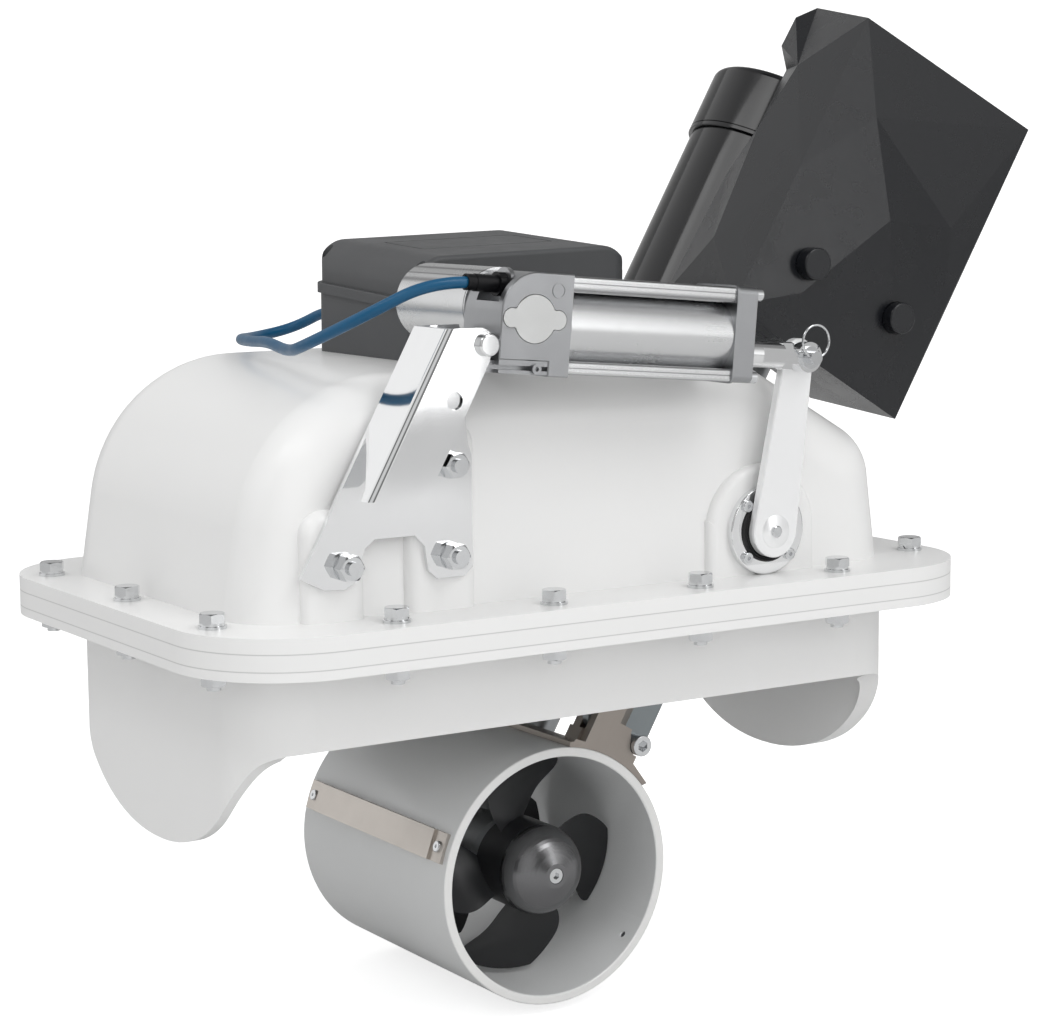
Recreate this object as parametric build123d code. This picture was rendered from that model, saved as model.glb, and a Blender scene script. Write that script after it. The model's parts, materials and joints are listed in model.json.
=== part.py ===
from build123d import *
import os
from math import acos, atan2, cos, degrees, hypot, pi, radians, sin, sqrt, tan

os.makedirs("parts", exist_ok=True)

# Frame: X along the flange, Y away from the actuator side, Z up, origin at the centre of the flange top.

# fits
run = 0.05            # radial clearance of a running fit
seat = 0.03           # radial clearance of a seated fit

# flange stack
flangeLength, flangeWidth, flangeCorner = 666.0, 436.0, 85.0
domeFlange, frameFlange, trunkFlange = 11.0, 12.0, 7.0
zFrame = -domeFlange
zTrunk = zFrame - frameFlange
zUnder = zTrunk - trunkFlange
boltRadius, boltHole = 5.0, 5.4
boltXs, boltYs = flangeLength / 2 - 24, flangeWidth / 2 - 24
boltPitchX, boltPitchY = 129.0, 142.0

# dome
wall = 7.0
baseLeft, baseRight = -291.0, 279.0
halfWidth = 163.0
archX, archZ, archR = -162.0, 46.0, 120.0
domeTop = archZ + archR
rightDraft = 0.13
edgeRound = 44.0

# pivot frame, tilted like the leg
pivotX, pivotZ = 141.0, 34.0
tilt = 30.28
legLength = 302.5
slopeFace = 113.0
padFace = 170.0
padR = 50.0

# tunnel
tunnelR, tunnelBore, tunnelHalf = 99.75, 92.5, 112.6

# drive line
shaftR = 8.0
ballR = 12.0
cupWall = 4.5
offsetY = 48.0
motorR = 62.5
motorBase = 152.0
motorRing = 316.5
motorTop = 375.0
capOver = 3.2

# crank
crankR = 12.0
leverY0, leverY1 = -185.5, -178.6
leverSeatR = 10.0

# actuator
trunX, trunY, trunZ = -133.0, -194.0, 190.0
actTilt = 5.2
pinReach, rodRise = 297.0, 2.5
rodR = 9.5
tubeR, tubeWall, tubeRise = 26.3, 3.0, 14.5
trunR = 6.0
pinX = trunX + pinReach * cos(radians(actTilt)) + rodRise * sin(radians(actTilt))
pinZ = trunZ - pinReach * sin(radians(actTilt)) + rodRise * cos(radians(actTilt))

armFrame = Plane(origin=(pivotX, 0, pivotZ), x_dir=(cos(radians(tilt)), 0, -sin(radians(tilt))),
                 z_dir=(sin(radians(tilt)), 0, cos(radians(tilt)))).location
actFrame = Plane(origin=(trunX, trunY, trunZ), x_dir=(cos(radians(actTilt)), 0, -sin(radians(actTilt))),
                 z_dir=(sin(radians(actTilt)), 0, cos(radians(actTilt)))).location
boxFrame = Location((-2, 20, 168), (3.3, -1.4, 0))


def block(x0, x1, y0, y1, z0, z1):
    return Pos((x0 + x1) / 2, (y0 + y1) / 2, (z0 + z1) / 2) * Box(x1 - x0, y1 - y0, z1 - z0)


def rodX(y, z, x0, x1, r):
    return Pos((x0 + x1) / 2, y, z) * Rot(0, 90, 0) * Cylinder(r, x1 - x0)


def rodY(x, z, y0, y1, r):
    return Pos(x, (y0 + y1) / 2, z) * Rot(90, 0, 0) * Cylinder(r, y1 - y0)


def rodZ(x, y, z0, z1, r):
    return Pos(x, y, (z0 + z1) / 2) * Cylinder(r, z1 - z0)


def plateY(points, y0, y1):
    # flat plate cut from an outline of (x, z) points
    face = Plane.XZ * make_face(Polyline(*points, close=True))
    return Pos(0, y1, 0) * extrude(face, amount=y1 - y0)


def hexY(x, z, y0, y1, flats):
    face = Plane.XZ * RegularPolygon(flats / 2, 6, major_radius=False)
    return Pos(x, y1, z) * extrude(face, amount=y1 - y0)


def hexZ(x, y, z0, z1, flats):
    return Pos(x, y, z0) * extrude(RegularPolygon(flats / 2, 6, major_radius=False), amount=z1 - z0)


def hexX(y, z, x0, x1, flats):
    return Pos(x0, y, z) * extrude(Plane.YZ * RegularPolygon(flats / 2, 6, major_radius=False), amount=x1 - x0)


def headZ(x, y, z0, z1, flats, top=True, under=False):
    # hexagon with its corners turned down at 30 degrees
    r, h = flats / 2, z1 - z0
    drop = (flats / sqrt(3) - r) * 0.9 * tan(radians(30)) + 0.35
    big = flats / sqrt(3) + 0.2
    pts = [(0, 0), (r * 0.96, 0), (big, drop), (big, h), (0, h)] if under else [(0, 0), (big, 0), (big, h), (0, h)]
    if top:
        pts = pts[:-2] + [(big, h - drop), (r * 0.96, h), (0, h)]
    return hexZ(x, y, z0, z1, flats) & Pos(x, y, z0) * turnedZ(pts)


def headY(x, z, y0, y1, flats, top=True, under=False):
    # the same, along Y: its top looks towards -Y
    return Pos(x, y1, z) * Rot(90, 0, 0) * headZ(0, 0, 0, y1 - y0, flats, top, under)


def turned(points):
    # solid of revolution about Y from (radius, y) points
    face = make_face(Polyline(*points, close=True))
    return revolve(face, Axis.Y)


def turnedZ(points):
    # solid of revolution about Z from (radius, z) points
    face = Plane.XZ * make_face(Polyline(*points, close=True))
    return revolve(face, Axis.Z)


def group(shapes, frame=None):
    solids = []
    for s in shapes:
        solids += [frame * t if frame else t for t in s.solids()]
    return Compound(solids)


def save(name, shape):
    export_step(shape, f"parts/{name}.step")
    print(name, len(shape.solids()), round(shape.volume / 1000, 2))


def plateOutline(z0, z1):
    return Pos(0, 0, z0) * extrude(RectangleRounded(flangeLength, flangeWidth, flangeCorner), amount=z1 - z0)


def boltSpots():
    spots = []
    for sx in (-1, 1):
        for sy in (-1, 0, 1):
            spots.append((sx * boltXs, sy * boltPitchY))
    for sy in (-1, 1):
        for k in (-1.5, -0.5, 0.5, 1.5):
            spots.append((k * boltPitchX, sy * boltYs))
    return spots


def boltHoles(z0, z1):
    return [rodZ(x, y, z0, z1, boltHole) for x, y in boltSpots()]


def hullOpening(z0, z1, inset=0.0):
    x0, x1 = -283.0 + inset, 272.0 - inset
    y = 153.0 - inset
    return Pos((x0 + x1) / 2, 0, z0) * extrude(RectangleRounded(x1 - x0, 2 * y, 42), amount=z1 - z0)


def domeBlank(inset, z0, rounding):
    left, right = baseLeft + inset, baseRight - inset
    r, w = archR - inset, slopeFace - inset
    top = archZ + r
    sn, cs = sin(radians(tilt)), cos(radians(tilt))
    toCentre = hypot(archX - left, archZ)
    away = atan2(-archZ, left - archX) + 2 * pi - acos(r / toCentre)
    tx, tz = archX + r * cos(away), archZ + r * sin(away)
    mid = (away + pi / 2) / 2
    leftLow = left - (tx - left) / tz * -z0
    slopeX = pivotX + (w - (top - pivotZ) * cs) / sn
    zc = (w + pivotZ * cs - (right - pivotX) * sn) / (cs - rightDraft * sn)
    xc = right - rightDraft * zc
    edges = [Line((leftLow, z0), (tx, tz)),
             ThreePointArc((tx, tz), (archX + r * cos(mid), archZ + r * sin(mid)), (archX, top)),
             Line((archX, top), (slopeX, top)), Line((slopeX, top), (xc, zc)),
             Line((xc, zc), (right - rightDraft * z0, z0)),
             Line((right - rightDraft * z0, z0), (leftLow, z0))]
    face = make_face(edges)
    face = fillet(face.vertices().filter_by(lambda v: abs(v.X - slopeX) < 1 and v.Y > 0), 75)
    face = fillet(face.vertices().filter_by(lambda v: abs(v.X - xc) < 1 and v.Y > 0), rounding + 3)
    half = halfWidth - inset
    solid = extrude(Plane.XZ * face, amount=half, both=True)
    rim = solid.edges().filter_by(lambda e: abs(abs(e.center().Y) - half) < 0.01 and e.center().Z > z0 + 1)
    return fillet(rim, rounding)


def wallPad(x0, x1, z1, side, rounding=9.0):
    face = Pos((x0 + x1) / 2, (z1 - 40) / 2) * RectangleRounded(x1 - x0, z1 + 40, 18)
    pad = extrude(Plane.XZ * face, amount=24)
    pad = fillet(pad.faces().sort_by(Axis.Y)[0].edges(), rounding)
    pad = Pos(0, bracketBack + 24, 0) * pad - block(x0 - 5, x1 + 5, -200, 0, -80, -3)
    return pad if side < 0 else mirror(pad, Plane.XZ)


def bearingPad(side):
    face = Pos(pivotX, 0) * Rectangle(2 * padR, 2 * pivotZ + 20) + Pos(pivotX, pivotZ) * Circle(padR)
    pad = extrude(Plane.XZ * face, amount=24)
    pad = fillet(pad.faces().sort_by(Axis.Y)[0].edges().filter_by(lambda e: e.center().Z > -30), 6)
    pad = Pos(0, -padFace + 24, 0) * pad - block(60, 220, -200, 0, -80, -3)
    return pad if side < 0 else mirror(pad, Plane.XZ)


studSpots = [(-224.0, 39.0), (-139.0, 104.0), (-139.0, 39.5)]


def housingDome():
    body = domeBlank(0, -4, edgeRound) + plateOutline(zFrame, 0)
    body = body + bearingPad(-1) + bearingPad(1)
    body = body + wallPad(-252, -204, 78, -1) + wallPad(-170, -114, 134, -1)
    body = body - domeBlank(wall, zFrame - 1, edgeRound - wall)
    for h in boltHoles(zFrame - 1, 1):
        body = body - h
    for side in (-1, 1):
        body = body - rodY(pivotX, pivotZ, min(side * 140, side * 190), max(side * 140, side * 190), bearingSpigot + seat)
        for x, z in bearingScrewSpots():
            body = body - rodY(x, z, min(side * 150, side * 190), max(side * 150, side * 190), 2.8)
    for x, z in studSpots:
        body = body - rodY(x, z, -190, -140, 5.4)
    body = body - armFrame * rodZ(0, 0, slopeFace - 20, slopeFace + 20, 30.0)
    for u, y in driveScrewSpots():
        body = body - armFrame * rodZ(u, y, slopeFace - 20, slopeFace + 20, 3.4)
    for x, y in boxScrewSpots():
        body = body - rodZ(x, y, domeTop - 20, domeTop + 10, 2.7)
    return body


bearingSpigot = 22.0
bearingFlange = 34.0
bearingT = 5.5
bearingScrewR = 28.0


def bearingScrewSpots():
    return [(pivotX + bearingScrewR * cos(radians(45 + 90 * k)), pivotZ + bearingScrewR * sin(radians(45 + 90 * k)))
            for k in range(4)]


def driveScrewSpots():
    return [(sx * 40.0, y) for sx in (-1, 1) for y in (-27.0, 86.0)]


def boxScrewSpots():
    return [(-84.0, -46.0), (78.0, -46.0), (-84.0, 86.0), (78.0, 86.0)]


def sealFrame():
    body = plateOutline(zTrunk, zFrame) - hullOpening(zTrunk - 1, zFrame + 1)
    for h in boltHoles(zTrunk - 1, zFrame + 1):
        body = body - h
    return body


def hullTrunk():
    x0, x1, y = -291.0, 289.0, halfWidth - 2
    body = plateOutline(zUnder, zTrunk)
    skirt = Pos((x0 + x1) / 2, 0, -185) * extrude(RectangleRounded(x1 - x0, 2 * y, 50), amount=185 + zUnder + 3)
    curve = [(-175, -93), (-158, -93.2), (-148, -98), (-133, -114), (-99, -150), (-50, -173), (0, -179),
             (50, -173), (99, -150), (133, -114), (148, -98), (158, -93.2), (175, -93)]
    lower = Spline(*curve)
    keep = make_face([lower, Line((175, -93), (175, 0)), Line((175, 0), (-175, 0)), Line((-175, 0), (-175, -93))])
    keep = extrude(Plane.YZ * keep, amount=340, both=True)
    skirt = (skirt & keep) - block(-262, 252, -200, 200, -200, -93.4)
    body = body + skirt
    under = body.edges().filter_by(lambda e: abs(e.center().Z - zUnder) < 0.01 and e.bounding_box().size.X < 600
                                   and abs(e.center().Y) < 170 and abs(e.center().X) < 300)
    body = fillet(under, 7)
    body = body - hullOpening(-190, zTrunk + 1)
    for h in boltHoles(zUnder - 1, zTrunk + 1):
        body = body - h
    return body


washerR, washerT, lockR, lockT, headT, nutT = 10.0, 2.0, 8.6, 2.2, 6.6, 8.2


def flangeHardware():
    bolts, washers, locks, nuts, lower = [], [], [], [], []
    for x, y in boltSpots():
        top = washerT + lockT
        head = headZ(x, y, top, top + headT, 17)
        bolts.append(head + rodZ(x, y, zUnder - washerT - nutT - 3, top + 0.1, boltRadius))
        washers.append(rodZ(x, y, 0, washerT, washerR) - rodZ(x, y, -1, washerT + 1, boltHole))
        lock = rodZ(x, y, washerT, top, lockR) - rodZ(x, y, washerT - 1, top + 1, boltRadius + 0.2)
        slit = Pos(0, 7, 0) * Rot(0, 35, 0) * Box(0.9, 8, 8)
        locks.append(lock - Pos(x, y, washerT + lockT / 2) * Rot(0, 0, 37 * len(locks)) * slit)
        lower.append(rodZ(x, y, zUnder - washerT, zUnder, washerR) - rodZ(x, y, zUnder - 5, zUnder + 1, boltHole))
        nut = headZ(x, y, zUnder - washerT - nutT, zUnder - washerT, 17, True, True)
        nuts.append(nut - rodZ(x, y, zUnder - 20, zUnder + 1, boltRadius + seat))
    return group(bolts), group(washers + lower), group(locks), group(nuts)


bracketT = 4.0
bracketBack = -172.0
lugX, lugZ, lugR = -138.5, 190.5, 11.5


def bracketEdge(z):
    return -227.0 + 0.56 * (z - 89.0)


def actuatorBracket():
    back = [(bracketEdge(33), 33), (bracketEdge(202), 202), (-130, 202), (-127, 192), (-127, 150), (-124, 118),
            (-121, 110), (-121, 30), (-128, 24), (-150, 24), (-157, 30), (-160, 48), (-168, 56), (-200, 56),
            (-208, 50), (-211, 40), (-214, 28), (-224, 23), (-240, 24)]
    front = [(bracketEdge(88), 88), (bracketEdge(202), 202), (lugX, lugZ + lugR), (lugX + lugR, lugZ), (-131, 178),
             (-160, 125), (-174, 101), (-191, 88)]
    frontY0 = trunY - 24.0
    body = plateY(back, bracketBack - bracketT, bracketBack)
    body = body + plateY(front, frontY0, frontY0 + bracketT) + rodY(lugX, lugZ, frontY0, frontY0 + bracketT, lugR)
    web = [(bracketEdge(88), 88), (bracketEdge(202), 202), (bracketEdge(202) + 4.8, 202), (bracketEdge(88) + 4.8, 88)]
    web = plateY(web, frontY0, bracketBack)
    cut = make_face(Polyline((bracketBack + 1, 80), (bracketBack + 1, 132), (bracketBack - 14, 118),
                             (frontY0 + 12, 96), (frontY0 + 9, 80), close=True))
    web = web - Pos(-260, 0, 0) * extrude(Plane.YZ * cut, amount=100)
    body = body + web
    outer = body.edges().filter_by(lambda e: abs(e.center().Y - frontY0) < 0.01 and e.length > 100
                                   and e.center().X < -180)
    if outer:
        body = fillet(outer, 4.5)
    body = body - rodY(trunX, trunZ, -230, -160, trunR + 0.2)
    body = body - rodY(-159, 153, frontY0 - 1, frontY0 + bracketT + 1, 6.4)
    for x, z in studSpots:
        body = body - rodY(x, z, bracketBack - 10, bracketBack + 1, 5.4)
    return body


def bracketHardware():
    studs, nuts, washers = [], [], []
    y = bracketBack - bracketT
    for x, z in studSpots:
        studs.append(rodY(x, z, y - 15.5, -150, 5.0))
        washers.append(rodY(x, z, y - 2, y, washerR) - rodY(x, z, y - 3, y + 1, boltHole))
        nut = headY(x, z, y - 12.5, y - 2, 17, True, True)
        nuts.append(nut - rodY(x, z, y - 20, y + 1, 5.0 + seat))
        nut = hexY(x, z, -halfWidth + wall, -halfWidth + wall + 5.5, 17)
        nuts.append(nut - rodY(x, z, -halfWidth, -140, 5.0 + seat))
    return group(studs), group(nuts), group(washers)


def pivotBolt():
    front = trunY - 24.0
    head = rodY(trunX, trunZ, front - 5, front, 8.0)
    head = fillet(head.faces().sort_by(Axis.Y)[0].edges(), 1.6)
    return head + rodY(trunX, trunZ, front - 0.1, bracketBack + 7, trunR) + hexY(trunX, trunZ, bracketBack, bracketBack + 6, 19)


def bearing(side):
    y = padFace
    body = rodY(pivotX, pivotZ, -(y + bearingT), -y, bearingFlange)
    body = fillet(body.faces().sort_by(Axis.Y)[0].edges(), 1.2)
    body = body + rodY(pivotX, pivotZ, -y - 0.1, -140, bearingSpigot)
    body = body - rodY(pivotX, pivotZ, -200, -130, crankR + run)
    body = body - rodY(pivotX, pivotZ, -(y + bearingT) - 1, -(y + bearingT) + 5, 18 + seat)
    for x, z in bearingScrewSpots():
        body = body - rodY(x, z, -200, -160, 2.8)
    return body if side < 0 else mirror(body, Plane.XZ)


def shaftSeal(side):
    front = -(padFace + bearingT)
    body = rodY(pivotX, pivotZ, front - 1.6, front + 5, 18)
    body = body - rodY(pivotX, pivotZ, front - 5, front + 9, crankR + run)
    return body if side < 0 else mirror(body, Plane.XZ)


def bearingScrews():
    front = -(padFace + bearingT)
    screws = []
    for x, z in bearingScrewSpots():
        s = rodY(x, z, front - 2.8, front, 4.6)
        s = fillet(s.faces().sort_by(Axis.Y)[0].edges(), 0.9) - hexY(x, z, front - 4, front - 1, 3)
        s = s + rodY(x, z, front - 0.05, -150, 2.5)
        screws += [s, mirror(s, Plane.XZ)]
    return group(screws)


def tapered(x0, z0, r0, x1, z1, r1, y0, y1):
    # plate between two round ends with tangent sides
    d = hypot(x1 - x0, z1 - z0)
    base = atan2(z1 - z0, x1 - x0)
    spread = acos((r0 - r1) / d)
    pts = []
    for s in (1, -1):
        pts.append([(cx + r * cos(base + s * spread), cz + r * sin(base + s * spread))
                    for cx, cz, r in ((x0, z0, r0), (x1, z1, r1))])
    body = plateY([pts[0][0], pts[0][1], pts[1][1], pts[1][0]], y0, y1)
    return body + rodY(x0, z0, y0, y1, r0) + rodY(x1, z1, y0, y1, r1)


def crankLever():
    body = tapered(pivotX, pivotZ, 20, pinX, pinZ, 13.5, leverY0, leverY1)
    body = body - rodY(pivotX, pivotZ, leverY0 - 1, leverY1 + 1, leverSeatR + seat)
    return chamfer(body.faces().sort_by(Axis.Y)[0].edges().filter_by(
        lambda e: hypot(e.center().X - pivotX, e.center().Z - pivotZ) > 1), 0.8)


def crankShaft(side):
    end = leverY1 if side < 0 else -(padFace + bearingT + 6)
    body = rodY(pivotX, pivotZ, end, -armIn - 0.0, crankR)
    if side < 0:
        body = body + rodY(pivotX, pivotZ, leverY0, leverY1 + 0.1, leverSeatR)
        body = body - rodY(pivotX, pivotZ, leverY0 - 1, leverY0 + 18, 4.0)
    return body if side < 0 else mirror(body, Plane.XZ)


def leverBolt():
    head = rodY(pivotX, pivotZ, leverY0 - 4, leverY0, 12)
    head = fillet(head.faces().sort_by(Axis.Y)[0].edges(), 1.5) - hexY(pivotX, pivotZ, leverY0 - 6, leverY0 - 2, 5)
    return head + rodY(pivotX, pivotZ, leverY0 - 0.1, leverY0 + 15, 4.0 - seat)


armOut, armIn = 104.0, 96.0
armHalf = 30.0
sadOut = 112.0
boltLow = (20.0, -legLength + 118.5)
boltHigh = (-14.0, -legLength + 160.5)
bridgeTop, bridgeLow = -58.0, -70.0


def armPlate(side):
    foot = legLength - 112.5
    face = Pos(0, -foot / 2) * Rectangle(2 * armHalf, foot) + Circle(armHalf)
    face = fillet(face.vertices().filter_by(lambda v: v.Y < -foot + 10), 12)
    body = Pos(0, -armIn, 0) * extrude(Plane.XZ * face, amount=armOut - armIn)
    body = body - rodY(0, 0, -armOut - 1, -armIn + 1, crankR + seat)
    for u, w in (boltLow, boltHigh):
        body = body - rodY(u, w, -armOut - 1, -armIn + 1, 5.3)
    for u in (-18, 18):
        body = body - rodY(u, (bridgeTop + bridgeLow) / 2, -armOut - 1, -armIn + 1, 3.3)
    return body if side < 0 else mirror(body, Plane.XZ)


def uprightOutline():
    r = tunnelR + 0.1
    half = radians(22.7)
    foot = r * sin(half)
    w = -legLength + r * cos(half)
    return [(-foot, w), (-foot + 2, w + 7.5), (-27.4, w + 9), (-27.4, -128), (8, -128), (8, -178), (12, -187), (18, -192),
            (20, -198), (foot + 3, w + 3), (foot, w), (0, -legLength + 60)]


def armSaddle():
    r = tunnelR + 0.1
    parts = []
    plate = plateY(uprightOutline(), -sadOut, -armOut)
    wedge = make_face(Polyline((-5, -sadOut - 0.1), (9.5, -sadOut - 0.1), (9.5, -armOut + 1.2), (8, -armOut + 1.2), close=True))
    plate = plate - Pos(0, 0, -176) * extrude(wedge, amount=60)
    lug = plateY([(-27.4, -200), (-27.4, -128), (28, -128), (28, -190), (24, -200)], -armIn, -armIn + 9)
    low = plateY([(-30, -220), (-30, -192), (28, -192), (28, -220)], -armOut, -armIn + 9)
    plate = plate + lug + low
    both = plate + mirror(plate, Plane.XZ)
    cradle = rodY(0, -legLength, -sadOut, sadOut, r + 4)
    sector = make_face(Polyline((0, -legLength), (-140 * tan(radians(22.7)), -legLength + 140),
                                (140 * tan(radians(22.7)), -legLength + 140), close=True))
    cradle = cradle & Pos(0, sadOut, 0) * extrude(Plane.XZ * sector, amount=2 * sadOut)
    body = both + cradle
    body = body - rodY(0, -legLength, -130, 130, r)
    body = body - rodZ(0, 0, -230, -150, 24)
    for u, w in (boltLow, boltHigh):
        body = body - rodY(u, w, -130, -80, 5.3) - rodY(u, w, 80, 130, 5.3)
        body = body - rodY(u, w, -130, -armOut, 8.6) - rodY(u, w, armOut, 130, 8.6)
    return body


def saddleBolts():
    bolts = []
    for u, w in (boltLow, boltHigh):
        b = rodY(u, w, -armOut - 13, -armOut, 8.2)
        b = fillet(b.faces().sort_by(Axis.Y)[0].edges(), 0.8) - hexY(u, w, -armOut - 14, -armOut - 7, 8)
        b = b + rodY(u, w, -armOut - 0.1, -armIn + 16, 5.0)
        n = hexY(u, w, -armIn + 9, -armIn + 16, 16) - rodY(u, w, -armIn, -armIn + 20, 5.0 + seat)
        bolts += [b, n, mirror(b, Plane.XZ), mirror(n, Plane.XZ)]
    return group(bolts, armFrame)


def thrusterTunnel():
    body = rodY(0, -legLength, -tunnelHalf, tunnelHalf, tunnelR) - rodY(0, -legLength, -200, 200, tunnelBore)
    body = fillet(body.edges().filter_by(lambda e: abs(abs(e.center().Y) - tunnelHalf) < 0.1), 1.2)
    body = body - rodZ(0, 0, -240, -150, columnR + run)
    for y in stripScrewYs():
        for a in (-1, 1):
            body = body - stripTool(a, y, tunnelBore - 5, tunnelR + 5, 2.6)
    return body


stripHalf = 106.5
stripWidth = 23.0
stripT = 2.5
stripAngle = 79.4     # from the arm's down direction, each way round the tunnel


def stripScrewYs():
    return (-98.3, 98.3)


def stripTool(side, y, r0, r1, rad):
    # radial rod through the tunnel wall at the strip angle
    a = radians(270 + side * stripAngle)
    tool = Pos(0, y, (r0 + r1) / 2) * Cylinder(rad, r1 - r0)
    return Pos(0, 0, -legLength) * Rot(0, 90 - degrees(a), 0) * tool


def doorStrip(side):
    r = tunnelR + 0.1
    flat = block(-stripWidth / 2, stripWidth / 2, -stripHalf, stripHalf, r - 1.5, r + stripT)
    mid = block(-stripWidth / 2, stripWidth / 2, -stripHalf + 16, stripHalf - 16, r - 1.5, r + stripT + 2)
    body = flat + mid
    body = body - rodY(0, 0, -200, 200, r)
    for y in stripScrewYs():
        body = body - rodZ(0, y, r - 5, r + 10, 2.7)
    if side > 0:
        for y in (-60, 60):
            body = body - rodZ(0, y, r - 5, r + 10, 3.0)
    a = 270 + side * stripAngle
    return Pos(0, 0, -legLength) * Rot(0, 90 - a, 0) * body


def stripScrews():
    screws = []
    for side in (-1, 1):
        for y in stripScrewYs():
            r = tunnelR + 0.1 + stripT
            s = rodZ(0, y, r, r + 1.9, 4.4)
            s = fillet(s.faces().sort_by(Axis.Z)[-1].edges(), 0.8)
            s = s - hexZ(0, y, r + 0.7, r + 3, 2.6) + rodZ(0, y, tunnelBore + 0.6, r + 0.05, 2.5)
            screws.append(Pos(0, 0, -legLength) * Rot(0, 90 - (270 + side * stripAngle), 0) * s)
    return group(screws, armFrame)


columnR, columnBore = 16.0, 10.5
podR, podBore, podHalf = 31.0, 25.0, 45.0
propShaftR = 7.0
hubR = 35.0
hubIn, hubOut, noseTip = 48.0, 86.0, 112.0
bladeR, bladeTurn = 87.5, -30.0


def gearLeg():
    body = rodZ(0, 0, -legLength, -44, columnR)
    body = body + rodZ(0, 0, bridgeLow - 8, bridgeLow, 26)
    strut = extrude(Pos(0, 0, -legLength) * Ellipse(13, 24), amount=tunnelBore - 1)
    body = body + strut
    pod = turned([(0, -podHalf), (podR - 5, -podHalf), (podR, -podHalf + 8), (podR, podHalf - 8), (podR - 5, podHalf),
                  (0, podHalf)])
    body = body + Pos(0, 0, -legLength) * pod
    body = body - rodZ(0, 0, -legLength, 0, columnBore)
    body = body - rodY(0, -legLength, -podHalf + 8, podHalf - 8, podBore)
    body = body - rodY(0, -legLength, -80, 80, propShaftR + run)
    for u, y in bridgeScrewSpots():
        body = body - rodZ(u, y, bridgeLow - 12, bridgeLow + 5, 2.7)
    return body


def bridgeScrewSpots():
    return [(21 * cos(radians(a)), 21 * sin(radians(a))) for a in (45, 135, 225, 315)]


def armBridge():
    body = block(-26, 26, -armIn, armIn, bridgeLow, bridgeTop) - rodZ(0, 0, bridgeLow - 1, bridgeTop + 1, columnR + seat)
    for u, y in bridgeScrewSpots():
        body = body - rodZ(u, y, bridgeLow - 1, bridgeTop + 1, 2.7)
    for u in (-18, 18):
        for s in (-1, 1):
            body = body - rodY(u, (bridgeTop + bridgeLow) / 2, min(s * 75, s * 100), max(s * 75, s * 100), 3.0 + seat)
    for y0, y1 in ((-88, -36), (36, 88)):
        body = body - block(-14, 14, y0, y1, bridgeLow - 1, bridgeTop + 1)
    return body


def bridgeScrews():
    screws = []
    for u, y in bridgeScrewSpots():
        s = rodZ(u, y, bridgeLow - 8 - 3, bridgeLow - 8, 4.4) + rodZ(u, y, bridgeLow - 8.05, bridgeTop - 1, 2.5)
        screws.append(s)
    for u in (-18, 18):
        w = (bridgeTop + bridgeLow) / 2
        s = rodY(u, w, -armOut - 4, -armOut, 5.4) + rodY(u, w, -armOut - 0.05, -80, 3.0)
        screws += [s, mirror(s, Plane.XZ)]
    return group(screws, armFrame)


def legBushes():
    rings = []
    for w0, w1 in ((-62, -46), (-legLength + 52.5, -legLength + 70.5)):
        rings.append(rodZ(0, 0, w0, w1, columnBore - seat) - rodZ(0, 0, w0 - 1, w1 + 1, shaftR + run))
    return group(rings, armFrame)


pinionTop, pinionLow = -legLength + 22.0, -legLength + 11.6


def legShaft():
    body = rodZ(0, 0, pinionTop - 0.1, -4, shaftR) + Sphere(ballR)
    body = body - rodZ(0, 0, ballR - 2.0, ballR + 2, 3)
    pinion = turnedZ([(0, pinionTop), (9.9, pinionTop), (11.9 * 0.95, pinionTop - 1.5), (5.6, pinionLow), (0, pinionLow)])
    return body + pinion


def bevelGear():
    body = turned([(propShaftR - 1, -26), (12, -26), (12, -24.5), (23.2, -24.5), (24.0, -21.8), (13.4, -11.8),
                   (propShaftR - 1, -11.8)])
    return Pos(0, 0, -legLength) * body


def propShaft(side):
    body = rodY(0, -legLength, -(noseTip - 9), -4, propShaftR) + bevelGear()
    body = body - rodY(0, -legLength, -(noseTip - 8), -(noseTip - 24), 2.5)
    return body if side < 0 else mirror(body, Plane.XZ)


def bladeSection(h, x0, x1, thick, pitch, y):
    a = radians(pitch)
    plane = Plane(origin=((x0 + x1) / 2, y, h), x_dir=(cos(a), sin(a), 0), z_dir=(0, 0, 1))
    half = (x1 - x0) / (2 * cos(a))
    return plane * make_face([ThreePointArc((-half, 0), (0, thick / 2), (half, 0)),
                              ThreePointArc((half, 0), (0, -thick / 2), (-half, 0))])


def propeller(side):
    secs = [bladeSection(28, -22, 6, 6.0, 25, -60), bladeSection(40, -29, 12.5, 5.0, 22, -58.5),
            bladeSection(52, -32, 22, 4.2, 19, -56.5), bladeSection(62, -30, 36, 3.6, 16, -53.5),
            bladeSection(70, -26, 46, 3.0, 14, -51), bladeSection(79, -20, 43, 2.6, 12, -49.5),
            bladeSection(89, -8, 30, 2.0, 11, -48.5)]
    blade = loft(secs)
    hub = turned([(propShaftR + seat, -hubOut), (hubR, -hubOut), (hubR, -hubIn - 3), (hubR - 3, -hubIn),
                  (propShaftR + seat, -hubIn)])
    body = hub
    for k in range(4):
        body = body + Rot(0, bladeTurn + 90 * k, 0) * blade
    body = body & rodY(0, 0, -hubOut, -hubIn + 16.0, bladeR)
    body = body - rodY(0, 0, -hubOut - 1, -hubIn + 1, propShaftR + seat)
    body = Pos(0, 0, -legLength) * body
    return body if side < 0 else mirror(body, Plane.XZ)


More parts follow.
